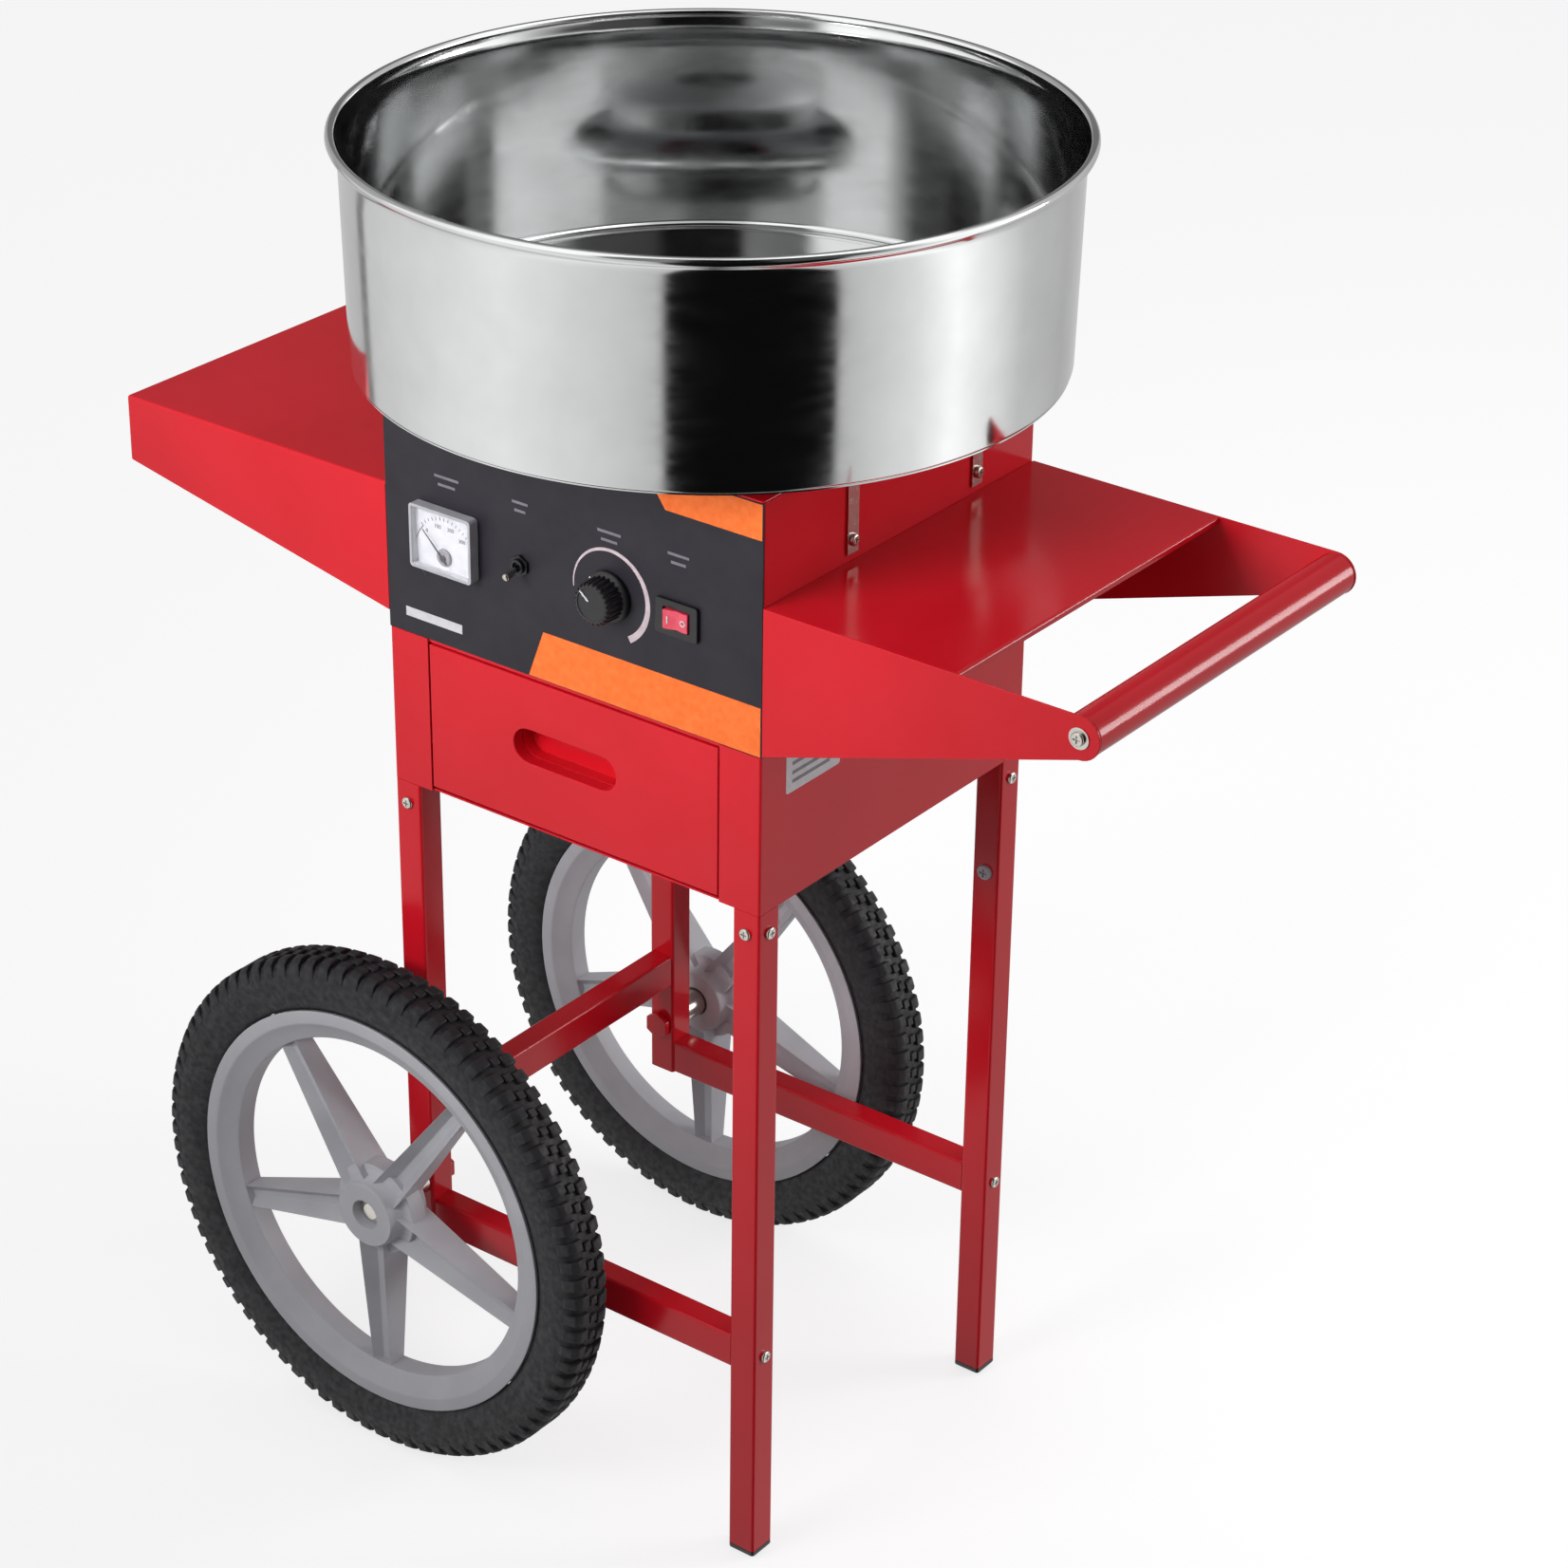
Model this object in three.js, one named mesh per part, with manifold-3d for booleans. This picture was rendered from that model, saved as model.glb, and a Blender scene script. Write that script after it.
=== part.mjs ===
// A cotton candy machine on a two-wheeled serving cart.
// Millimetres, +Z up. The origin is on the floor under the middle of the whole object: the control panel
// faces -Y, the push handle is at +X and the two wheels are at -X.
import * as THREE from "three";
import { mergeVertices } from "three/addons/utils/BufferGeometryUtils.js";
import Module from "manifold-3d";

const wasm = await Module();
wasm.setup();

// ---- Driving dimensions ----
const GAP = 0.3; // clearance between pieces that rest on each other
const SHEET = 1.5; // sheet steel of the cabinet, shelf and tray

const CABINET_HALF_W = 165;
const CABINET_HALF_D = 157;
const CABINET_BOTTOM = 547;
const CABINET_TOP = 854;
const PANEL_BOTTOM = 668; // lower edge of the control panel, over the drawer
const STILE_W = 35; // sheet left of and right of the drawer
const SHELF_TOP = 778; // shared level of the left shelf and the right tray

const SHELF_LENGTH = 252;
const SHELF_OUTER_SKIRT = 50;
const SHELF_INNER_SKIRT = 98;
const TRAY_LENGTH = 155;
const TRAY_INNER_SKIRT = 109;
const HANDLE_REACH = 248; // from the cabinet's side to the bar's axis
const HANDLE_R = 15;
const ARM_NOSE_R = 15.5; // round end of the tray's arms, around the bar

const LEG = 23; // square tube
const TUBE_WALL = 1.5;
const RAIL_H = 28;
const RAIL_D = 20;
const RAIL_BOTTOM = 164;
const CROSS_TUBE_BOTTOM = 244;
const FOOT_H = 7;

const WHEEL_R = 206;
const TYRE_W = 40;
const RIM_R = 165;
const RIM_INNER_R = 140;
const WHEEL_Y = 199; // wheel's middle plane
const AXLE_R = 7;
const AXLE_X = -155;
const HUB_R = 27;
const HUB_HALF = 20;
const HUB_RECESS = 10;
const BOSS_R = 37;
const SPOKES = 5;

const BOWL_RIM_R = 260;
const BOWL_WALL_TOP_R = 252.5;
const BOWL_WALL_BOTTOM_R = 249;
const BOWL_FLOOR = 868;
const BOWL_RIM_Z = 1032;
const BOWL_SHEET = 1.2;
const BOWL_HOLE_R = 92;

const SHAFT_R = 5;
const HEAD_R = 70;
const HEAD_BOTTOM = 880;
const HEAD_SEGMENTS = 28;

const CONTROLS_Z = 750;
const KNOB = { x: 36, r: 16, depth: 19, skirt: 3.5, rest: -50 }; // rest: the pointer's angle at rest
const METER = { x: -108, w: 56, h: 48, depth: 9 };
const ROCKER = { x: 95, w: 36, h: 26, depth: 5 };
const TOGGLE = { x: -42, r: 6 };
const PULL = { x: -6, z: 612, w: 92, h: 26, depth: 20 };
const INLET = { x: 105, z: 640, bore: 4.5 };
const VENT = { rows: 5, xs: [-70, 0, 70], low: 715, pitch: 18, w: 48, h: 5 };
const DRAWER = { low: 562, top: 655, frontDepth: 10, backGap: 14 };
const RUNNER = { front: -120, back: 145, rise: 28, reach: 118 }; // reach: its flange's inner edge
const CLIP = { ys: { front: -60, rear: 85 }, w: 12, low: 784, bend: 838, screwZ: 794 };
const MOTOR = { r: 44, h: 82, hub: 20, lift: 6 };
const MOTOR_BRACKET = { reach: 60, w: 28, t: 3 };
const SLIP_RINGS = { r: 17, h: 22, band: 8, waist: 14 };

// Middle of the object's length, so that the origin ends up under it.
const LEFT_END = -CABINET_HALF_W - SHELF_LENGTH;
const RIGHT_END = CABINET_HALF_W + HANDLE_REACH + ARM_NOSE_R;
const SHIFT_X = -(LEFT_END + RIGHT_END) / 2;

// ---- Materials ----
const finish = (color, roughness, metalness) =>
  new THREE.MeshStandardMaterial({ color, roughness, metalness });
const redEnamel = finish(0xc62a36, 0.25, 0);
const charcoalPrint = finish(0x3a383e, 0.5, 0);
const polishedSteel = finish(0xd8dadb, 0.08, 1);
const zincSteel = finish(0xb9bcc0, 0.35, 1);
const castAluminium = finish(0xc9cbcd, 0.4, 1);
const greyPlastic = finish(0x98989c, 0.5, 0);
const blackPlastic = finish(0x17171a, 0.4, 0);
const whitePlastic = finish(0xe9e9ec, 0.4, 0);
const clearPlastic = finish(0xf4f7fa, 0.05, 0);
const redPlastic = finish(0xd2203a, 0.3, 0);
const blackRubber = finish(0x1c1c1e, 0.8, 0);
const boardGreen = finish(0x1f5a37, 0.5, 0);
const carbon = finish(0x2b2b2d, 0.7, 0);
const copper = finish(0xb87445, 0.3, 1);
const nickelRibbon = finish(0x8d8a84, 0.4, 1);

// ---- Shape helpers ----
// A box between two corners.
function box(x0, x1, y0, y1, z0, z1) {
  return new THREE.BoxGeometry(x1 - x0, y1 - y0, z1 - z0).translate(
    (x0 + x1) / 2,
    (y0 + y1) / 2,
    (z0 + z1) / 2,
  );
}

// A cylinder along "x", "y" or "z" from a to b; u and v are its centre in the other two axes, in order.
function rod(axis, r, a, b, u, v, segments = 24) {
  const g = new THREE.CylinderGeometry(r, r, b - a, segments);
  const mid = (a + b) / 2;
  if (axis === "x") return g.rotateZ(Math.PI / 2).translate(mid, u, v);
  if (axis === "y") return g.translate(u, mid, v);
  return g.rotateX(Math.PI / 2).translate(u, v, mid);
}

// A ring turned about +Z from [radius, z] points; the profile closes on itself and runs
// upwards on its outside.
function turned(profile, segments = 48) {
  const points = [...profile, profile[0]].map(([r, z]) => new THREE.Vector2(r, z));
  return new THREE.LatheGeometry(points, segments).rotateX(Math.PI / 2);
}

// An outline in X and Z, extruded along Y from y0 to y1.
function plateXZ(points, y0, y1) {
  const shape = new THREE.Shape(points.map(([x, z]) => new THREE.Vector2(x, z)));
  return new THREE.ExtrudeGeometry(shape, { depth: y1 - y0, bevelEnabled: false })
    .rotateX(Math.PI / 2)
    .translate(0, y1, 0);
}

// A solid for joining and cutting, from a closed geometry.
function solid(geometry) {
  const bare = geometry.clone();
  bare.deleteAttribute("normal");
  bare.deleteAttribute("uv");
  const merged = mergeVertices(bare, 1e-3);
  return new wasm.Manifold(
    new wasm.Mesh({
      numProp: 3,
      vertProperties: merged.getAttribute("position").array,
      triVerts: new Uint32Array(merged.index.array),
    }),
  );
}

function geometryOf(manifold) {
  const mesh = manifold.getMesh();
  const geometry = new THREE.BufferGeometry();
  geometry.setAttribute("position", new THREE.BufferAttribute(mesh.vertProperties, 3));
  geometry.setIndex(new THREE.BufferAttribute(mesh.triVerts, 1));
  geometry.computeVertexNormals();
  return geometry;
}

const join = (...geometries) => geometryOf(geometries.map(solid).reduce((a, b) => a.add(b)));
const cut = (base, ...tools) => geometryOf(tools.map(solid).reduce((a, b) => a.subtract(b), solid(base)));

const cart = new THREE.Group();
cart.position.x = SHIFT_X;

function piece(name, geometry, material, parent = cart) {
  const mesh = new THREE.Mesh(geometry, material);
  mesh.name = name;
  parent.add(mesh);
  return mesh;
}

const SIDES = [
  ["left", -1],
  ["right", 1],
];
const ENDS = [
  ["front", -1],
  ["rear", 1],
];
const DRAWER_HALF = CABINET_HALF_W - STILE_W - 1.2;
const DRAWER_BOX_HALF = DRAWER_HALF - 3;

// ---- Cabinet ----
function cabinetShell() {
  const w = CABINET_HALF_W;
  const d = CABINET_HALF_D;
  const top = CABINET_TOP - SHEET - GAP;
  const step = d - SHEET - GAP; // front face behind the control panel
  const open = w - STILE_W;
  const walls = cut(
    box(-w, w, -d, d, CABINET_BOTTOM, top),
    box(-w + SHEET, w - SHEET, -d + SHEET, d - SHEET, CABINET_BOTTOM - 1, top + 1),
    box(-open, open, -d - 1, -d + 5, CABINET_BOTTOM - 1, PANEL_BOTTOM),
    box(-w - 1, w + 1, -d - 1, -step, PANEL_BOTTOM - GAP, top + 1),
  );
  const flange = 14; // folded edges that carry the panel
  const flanges = [
    box(-w + SHEET / 2, -w + flange, -step, -step + SHEET, PANEL_BOTTOM - 12, top),
    box(w - flange, w - SHEET / 2, -step, -step + SHEET, PANEL_BOTTOM - 12, top),
    box(-w + SHEET / 2, w - SHEET / 2, -step, -step + SHEET, PANEL_BOTTOM - 3, PANEL_BOTTOM + 9),
  ];
  const vents = [];
  for (let row = 0; row < VENT.rows; row++)
    for (const x of VENT.xs) {
      const z = VENT.low + row * VENT.pitch;
      vents.push(box(x - VENT.w / 2, x + VENT.w / 2, d - 5, d + 5, z - VENT.h / 2, z + VENT.h / 2));
    }
  return cut(join(walls, ...flanges), ...vents, rod("y", 9, d - 5, d + 5, INLET.x, INLET.z));
}

function cabinet() {
  const w = CABINET_HALF_W - SHEET - GAP;
  const d = CABINET_HALF_D - SHEET - GAP;
  piece("cabinet_shell", cabinetShell(), redEnamel);
  piece("cabinet_floor", box(-w, w, -d, d, CABINET_BOTTOM, CABINET_BOTTOM + SHEET), redEnamel);
  const deckZ = PANEL_BOTTOM + 10;
  const deckFront = -d + SHEET + GAP;
  piece(
    "machine_deck",
    cut(
      box(-w, w, deckFront, d, deckZ, deckZ + SHEET),
      rod("z", 30, deckZ - 5, deckZ + 5, 0, 0),
    ),
    zincSteel,
  );
  piece(
    "top_plate",
    cut(
      box(
        -CABINET_HALF_W, CABINET_HALF_W, -CABINET_HALF_D, CABINET_HALF_D,
        CABINET_TOP - SHEET, CABINET_TOP,
      ),
      rod("z", 34, CABINET_TOP - 5, CABINET_TOP + 5, 0, 0, 32),
    ),
    redEnamel,
  );
  // Each runner is screwed to the wall: a flange under the drawer and a lip beside it.
  const low = DRAWER.low - GAP - SHEET;
  const lip = DRAWER_BOX_HALF + GAP;
  for (const [side, s] of SIDES) {
    const bar = (a, b, z0, z1) =>
      box(Math.min(s * a, s * b), Math.max(s * a, s * b), RUNNER.front, RUNNER.back, z0, z1);
    piece(
      "drawer_runner_" + side,
      join(
        bar(w - GAP - SHEET, w - GAP, low, low + RUNNER.rise),
        bar(RUNNER.reach, w - GAP, low, low + SHEET),
        bar(lip, lip + SHEET, low, low + RUNNER.rise / 2),
      ),
      zincSteel,
    );
  }
}

// ---- Control panel and what is on it ----
const PANEL_FRONT = -CABINET_HALF_D;

function controlPanel() {
  const back = PANEL_FRONT + SHEET;
  const top = CABINET_TOP - SHEET - GAP;
  const hole = (x, r) => rod("y", r, PANEL_FRONT - 5, back + 5, x, CONTROLS_Z);
  piece(
    "control_panel",
    cut(
      box(-CABINET_HALF_W, CABINET_HALF_W, PANEL_FRONT, back, PANEL_BOTTOM, top),
      hole(KNOB.x, 4.5),
      hole(TOGGLE.x, TOGGLE.r),
      hole(METER.x, 19),
      box(ROCKER.x - 13, ROCKER.x + 13, PANEL_FRONT - 5, back + 5, CONTROLS_Z - 9.5, CONTROLS_Z + 9.5),
    ),
    charcoalPrint,
  );
}

function voltmeter() {
  const front = PANEL_FRONT - METER.depth;
  const back = PANEL_FRONT - GAP;
  const [hw, hh] = [METER.w / 2, METER.h / 2];
  const lip = 2;
  const wellBack = front + 6;
  const low = CONTROLS_Z - hh;
  piece(
    "voltmeter_body",
    join(
      cut(
        box(METER.x - hw, METER.x + hw, front, back, low, CONTROLS_Z + hh),
        box(
          METER.x - hw + lip, METER.x + hw - lip, front - 1, wellBack, low + lip, CONTROLS_Z + hh - lip,
        ),
      ),
      rod("y", 18.5, back - 1, PANEL_FRONT + 28, METER.x, CONTROLS_Z),
    ),
    whitePlastic,
  );
  piece(
    "voltmeter_window",
    box(
      METER.x - hw + lip + GAP, METER.x + hw - lip - GAP, front + 0.2, front + 1.6,
      low + lip + GAP, CONTROLS_Z + hh - lip - GAP,
    ),
    clearPlastic,
  );
  const needle = new THREE.Group();
  needle.position.set(METER.x, 0, low + 12);
  cart.add(needle);
  piece(
    "voltmeter_needle",
    join(
      rod("y", 3, front + 3, wellBack - GAP, 0, 0, 16),
      box(-0.7, 0.7, front + 3.4, front + 4.4, 0, 25),
    ).rotateY(-Math.PI / 4),
    blackPlastic,
    needle,
  );
}

function toggleSwitch() {
  const front = PANEL_FRONT - 5;
  const pivot = PANEL_FRONT - 1;
  piece(
    "toggle_bushing",
    cut(
      join(
        rod("y", TOGGLE.r - 0.5, front, PANEL_FRONT + 24, TOGGLE.x, CONTROLS_Z),
        new THREE.CylinderGeometry(8, 8, 2.5, 6).translate(TOGGLE.x, PANEL_FRONT - GAP - 1.25, CONTROLS_Z),
      ),
      rod("y", 3.6, front - 1, PANEL_FRONT + 6, TOGGLE.x, CONTROLS_Z),
    ),
    zincSteel,
  );
  const lever = new THREE.Group();
  lever.position.set(TOGGLE.x, pivot, CONTROLS_Z);
  lever.rotation.x = THREE.MathUtils.degToRad(14);
  cart.add(lever);
  piece(
    "toggle_lever",
    new THREE.LatheGeometry(
      [[0, -17], [2.6, -16.5], [3, -14], [1.6, 0], [0, 1]].map(([r, y]) => new THREE.Vector2(r, y)),
      16,
    ),
    zincSteel,
    lever,
  );
}

function regulator() {
  const face = PANEL_FRONT - 1;
  const y0 = face - KNOB.depth;
  const grips = 12;
  const outline = new THREE.Shape();
  for (let i = 0; i <= grips * 4; i++) {
    const a = (i / (grips * 4)) * 2 * Math.PI;
    const r = KNOB.r - 0.8 + 0.8 * Math.cos(grips * a);
    if (i === 0) outline.moveTo(r, 0);
    else outline.lineTo(r * Math.cos(a), r * Math.sin(a));
  }
  const grip = KNOB.depth - KNOB.skirt + 0.5;
  const body = new THREE.ExtrudeGeometry(outline, { depth: grip, bevelEnabled: false })
    .rotateX(Math.PI / 2)
    .translate(KNOB.x, y0 + grip, CONTROLS_Z);
  const skirt = rod("y", KNOB.r + 2.5, face - KNOB.skirt, face, KNOB.x, CONTROLS_Z, 32);
  const pointer = box(-1, 1, y0 - 0.8, y0 + 1, 3, KNOB.r - 2)
    .rotateY(THREE.MathUtils.degToRad(KNOB.rest))
    .translate(KNOB.x, 0, CONTROLS_Z);
  piece(
    "regulator_knob",
    cut(join(body, skirt, pointer), rod("y", 3.2, face - 12, face + 1, KNOB.x, CONTROLS_Z, 20)),
    blackPlastic,
  );
  // The knob's potentiometer is on the circuit board; a heat sink and a capacitor stand behind it.
  piece(
    "regulator_board",
    join(
      rod("y", 3, face - 11.5, PANEL_FRONT + 10, KNOB.x, CONTROLS_Z, 20),
      rod("y", 12, PANEL_FRONT + SHEET + 2, PANEL_FRONT + 17, KNOB.x, CONTROLS_Z),
      box(
        KNOB.x - 38, KNOB.x + 38, PANEL_FRONT + 16.5, PANEL_FRONT + 18.1, CONTROLS_Z - 30, CONTROLS_Z + 30,
      ),
      box(
        KNOB.x - 32, KNOB.x - 18, PANEL_FRONT + 18, PANEL_FRONT + 40, CONTROLS_Z - 20, CONTROLS_Z + 10,
      ),
      rod("y", 7, PANEL_FRONT + 18, PANEL_FRONT + 34, KNOB.x + 20, CONTROLS_Z + 12),
    ),
    boardGreen,
  );
}

function rockerSwitch() {
  const y0 = PANEL_FRONT - ROCKER.depth;
  const [hw, hh] = [ROCKER.w / 2, ROCKER.h / 2];
  piece(
    "rocker_frame",
    cut(
      join(
        box(ROCKER.x - hw, ROCKER.x + hw, y0 + 2, PANEL_FRONT - GAP, CONTROLS_Z - hh, CONTROLS_Z + hh),
        box(
          ROCKER.x - 12.5, ROCKER.x + 12.5, PANEL_FRONT - 1, PANEL_FRONT + 22, CONTROLS_Z - 9, CONTROLS_Z + 9,
        ),
      ),
      box(ROCKER.x - 11, ROCKER.x + 11, y0 - 1, PANEL_FRONT + 10, CONTROLS_Z - 7.5, CONTROLS_Z + 7.5),
    ),
    blackPlastic,
  );
  // A rocker that tips about a vertical axis: its face is a shallow V, with the left half out.
  const pivotY = PANEL_FRONT + 4;
  const rocker = new THREE.Group();
  rocker.position.set(ROCKER.x, pivotY, 0);
  rocker.rotation.z = THREE.MathUtils.degToRad(6);
  cart.add(rocker);
  const face = y0 - pivotY - 0.5;
  const outline = new THREE.Shape(
    [[-9.6, 2], [-9.8, face], [0, face + 1.6], [9.8, face], [9.6, 2]].map(
      ([x, y]) => new THREE.Vector2(x, y),
    ),
  );
  piece(
    "rocker_button",
    new THREE.ExtrudeGeometry(outline, { depth: 14, bevelEnabled: false }).translate(0, 0, CONTROLS_Z - 7),
    redPlastic,
    rocker,
  );
}

// ---- Drawer ----
function drawer() {
  const half = DRAWER_HALF;
  const front = -CABINET_HALF_D;
  const back = front + DRAWER.frontDepth;
  const low = CABINET_BOTTOM + SHEET + 2.5;
  const top = PANEL_BOTTOM - 4;
  piece("drawer_front", cut(box(-half, half, front, back, low, top), pullOutline(0)), redEnamel);
  const boxFront = back + GAP;
  const boxBack = CABINET_HALF_D - DRAWER.backGap;
  const w = DRAWER_BOX_HALF;
  piece(
    "drawer_box",
    cut(
      box(-w, w, boxFront, boxBack, DRAWER.low, DRAWER.top),
      box(-w + SHEET, w - SHEET, boxFront + SHEET, boxBack - SHEET, DRAWER.low + SHEET, DRAWER.top + 1),
      // room for the finger pull's cup
      box(PULL.x - 54, PULL.x + 54, boxFront - 1, boxFront + 8.5, PULL.z - 21, PULL.z + 21),
    ),
    zincSteel,
  );
  piece(
    "drawer_pull",
    cut(
      box(PULL.x - 52, PULL.x + 52, back + GAP, front + PULL.depth + SHEET, PULL.z - 19, PULL.z + 19),
      pullOutline(GAP),
    ),
    redEnamel,
  );
}

// A rounded slot as wide and high as the finger pull, through the drawer front and into the cup behind it.
function pullOutline(less) {
  const r = PULL.h / 2 - less;
  const reach = PULL.w / 2 - PULL.h / 2;
  const shape = new THREE.Shape();
  shape.absarc(reach, 0, r, -Math.PI / 2, Math.PI / 2, false);
  shape.absarc(-reach, 0, r, Math.PI / 2, (3 * Math.PI) / 2, false);
  return new THREE.ExtrudeGeometry(shape, { depth: PULL.depth + 1, bevelEnabled: false, curveSegments: 10 })
    .rotateX(Math.PI / 2)
    .translate(PULL.x, -CABINET_HALF_D + PULL.depth, PULL.z);
}

// ---- Shelf, tray and handle ----
function leftShelf() {
  const inner = -CABINET_HALF_W - GAP;
  const outer = inner - SHELF_LENGTH + GAP;
  const d = CABINET_HALF_D;
  const profile = (s, x0, x1, drop0, drop1) => [
    [x0, SHELF_TOP - s],
    [x0, SHELF_TOP - drop0],
    [x1, SHELF_TOP - drop1],
    [x1, SHELF_TOP - s],
  ];
  piece(
    "left_shelf",
    cut(
      plateXZ(profile(0, outer, inner, SHELF_OUTER_SKIRT, SHELF_INNER_SKIRT), -d, d),
      plateXZ(
        profile(SHEET, outer + SHEET, inner + 1, SHELF_OUTER_SKIRT + 40, SHELF_INNER_SKIRT + 40),
        -d + SHEET, d - SHEET,
      ),
    ),
    redEnamel,
  );
}

function rightTray() {
  const inner = CABINET_HALF_W + GAP;
  const end = CABINET_HALF_W + HANDLE_REACH;
  const d = CABINET_HALF_D;
  const nose = ARM_NOSE_R;
  const barZ = SHELF_TOP - nose;
  // Side view of one arm: level on top, tapering from the cabinet out to a round nose at the bar.
  const arm = new THREE.Shape();
  arm.moveTo(inner, SHELF_TOP);
  arm.lineTo(inner, SHELF_TOP - TRAY_INNER_SKIRT);
  arm.lineTo(end, barZ - nose);
  arm.absarc(end, barZ, nose, -Math.PI / 2, Math.PI / 2, false);
  const side = (y0, y1) =>
    new THREE.ExtrudeGeometry(arm, { depth: y1 - y0, bevelEnabled: false, curveSegments: 12 })
      .rotateX(Math.PI / 2)
      .translate(0, y1, 0);
  const trayEnd = inner + TRAY_LENGTH - GAP;
  piece(
    "right_tray",
    join(
      side(-d, -d + SHEET),
      side(d - SHEET, d),
      box(inner, trayEnd, -d + SHEET / 2, d - SHEET / 2, SHELF_TOP - SHEET, SHELF_TOP),
      box(trayEnd - SHEET, trayEnd, -d + SHEET / 2, d - SHEET / 2, SHELF_TOP - 5, SHELF_TOP),
    ),
    redEnamel,
  );
  const reach = d - SHEET - GAP;
  piece("handle_bar", rod("y", HANDLE_R, -reach, reach, end, barZ, 32), redEnamel);
}

// ---- Legs, rails, feet ----
const LEG_X = CABINET_HALF_W - LEG / 2;
const LEG_Y = CABINET_HALF_D - LEG / 2;

function squareTube(x, y, z0, z1) {
  const o = LEG / 2;
  const i = o - TUBE_WALL;
  return cut(box(x - o, x + o, y - o, y + o, z0, z1), box(x - i, x + i, y - i, y + i, z0 - 1, z1 + 1));
}

function legsAndRails() {
  const legTop = CABINET_BOTTOM - GAP;
  for (const [place, s] of ENDS) {
    const y = s * LEG_Y;
    const axleHole = rod("y", AXLE_R + 0.1, y - LEG, y + LEG, AXLE_X, WHEEL_R, 24);
    piece("leg_" + place + "_left", cut(squareTube(-LEG_X, y, RAIL_BOTTOM, legTop), axleHole), redEnamel);
    piece("leg_" + place + "_right", squareTube(LEG_X, y, FOOT_H, legTop), redEnamel);
    const plug = LEG / 2 - TUBE_WALL - GAP;
    piece(
      "foot_" + place,
      join(
        box(LEG_X - LEG / 2, LEG_X + LEG / 2, y - LEG / 2, y + LEG / 2, 3, FOOT_H - GAP),
        box(LEG_X - plug, LEG_X + plug, y - plug, y + plug, 5, 26),
        rod("z", 8, 0, 4, LEG_X, y, 24),
      ),
      blackPlastic,
    );
    const railHalf = LEG_X - LEG / 2 - GAP;
    const [y0, y1] = [y - RAIL_D / 2, y + RAIL_D / 2];
    const t = TUBE_WALL;
    const z0 = RAIL_BOTTOM;
    const z1 = RAIL_BOTTOM + RAIL_H;
    piece(
      "lower_rail_" + place,
      cut(
        box(-railHalf, railHalf, y0, y1, z0, z1),
        box(-railHalf - 1, railHalf + 1, y0 + t, y1 - t, z0 + t, z1 - t),
      ),
      redEnamel,
    );
  }
  const half = LEG_Y - LEG / 2 - GAP;
  const t = TUBE_WALL;
  const [z0, z1] = [CROSS_TUBE_BOTTOM, CROSS_TUBE_BOTTOM + RAIL_H];
  const [x0, x1] = [-LEG_X - RAIL_D / 2, -LEG_X + RAIL_D / 2];
  piece(
    "cross_tube",
    cut(box(x0, x1, -half, half, z0, z1), box(x0 + t, x1 - t, -half - 1, half + 1, z0 + t, z1 - t)),
    redEnamel,
  );
}

// ---- Wheels and axles ----
// Turned about +Z so far: lays a wheel part's axis along Y at the axle.
const onAxle = (geometry, y) => geometry.rotateX(Math.PI / 2).translate(AXLE_X, y, WHEEL_R);

function rim(y) {
  const hw = TYRE_W / 2 - 3;
  const lip = RIM_INNER_R + 14;
  return onAxle(
    turned(
      [
        [RIM_INNER_R, -8], [lip, -hw], [RIM_R, -hw], [RIM_R, -hw + 4], [RIM_R - 7, -hw + 7],
        [RIM_R - 7, hw - 7], [RIM_R, hw - 4], [RIM_R, hw], [lip, hw], [RIM_INNER_R, 8],
      ],
      40,
    ),
    y,
  );
}

// The hub and its spokes. Each spoke is narrower and thinner at the rim; the first one points straight down.
function hubAndSpokes(y) {
  const end = RIM_INNER_R - 0.9;
  const prism = (outline, depth) =>
    new THREE.ExtrudeGeometry(new THREE.Shape(outline.map(([a, b]) => new THREE.Vector2(a, b))), {
      depth,
      bevelEnabled: false,
    }).translate(0, 0, -depth / 2);
  const wide = prism([[-12, 15], [12, 15], [8, end], [-8, end]], 40);
  const thick = prism([[-14, 15], [14, 15], [7.5, end], [-7.5, end]], 40).rotateY(Math.PI / 2);
  const spoke = geometryOf(solid(wide).intersect(solid(thick)));
  const spokes = [];
  for (let i = 0; i < SPOKES; i++)
    spokes.push(spoke.clone().rotateZ(Math.PI + (i * 2 * Math.PI) / SPOKES));
  const counterbore = (a, b) => rod("z", AXLE_R + 4.5, a, b, 0, 0, 24);
  return onAxle(
    cut(
      join(rod("z", HUB_R, -HUB_HALF, HUB_HALF, 0, 0, 30), rod("z", BOSS_R, -8, 8, 0, 0, 30), ...spokes),
      rod("z", AXLE_R + 0.1, -HUB_HALF - 1, HUB_HALF + 1, 0, 0, 24),
      counterbore(HUB_HALF - HUB_RECESS, HUB_HALF + 1),
      counterbore(-HUB_HALF - 1, -HUB_HALF + HUB_RECESS),
    ),
    y,
  );
}

function tyre(y) {
  const hw = TYRE_W / 2;
  const g = 0.4;
  return onAxle(
    turned(
      [
        [RIM_R + g, -hw + 6], [RIM_R + 16, -hw], [WHEEL_R - 10, -hw + 1], [WHEEL_R, -hw + 12],
        [WHEEL_R, hw - 12], [WHEEL_R - 10, hw - 1], [RIM_R + 16, hw], [RIM_R + g, hw - 6],
      ],
      48,
    ),
    y,
  );
}

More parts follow.
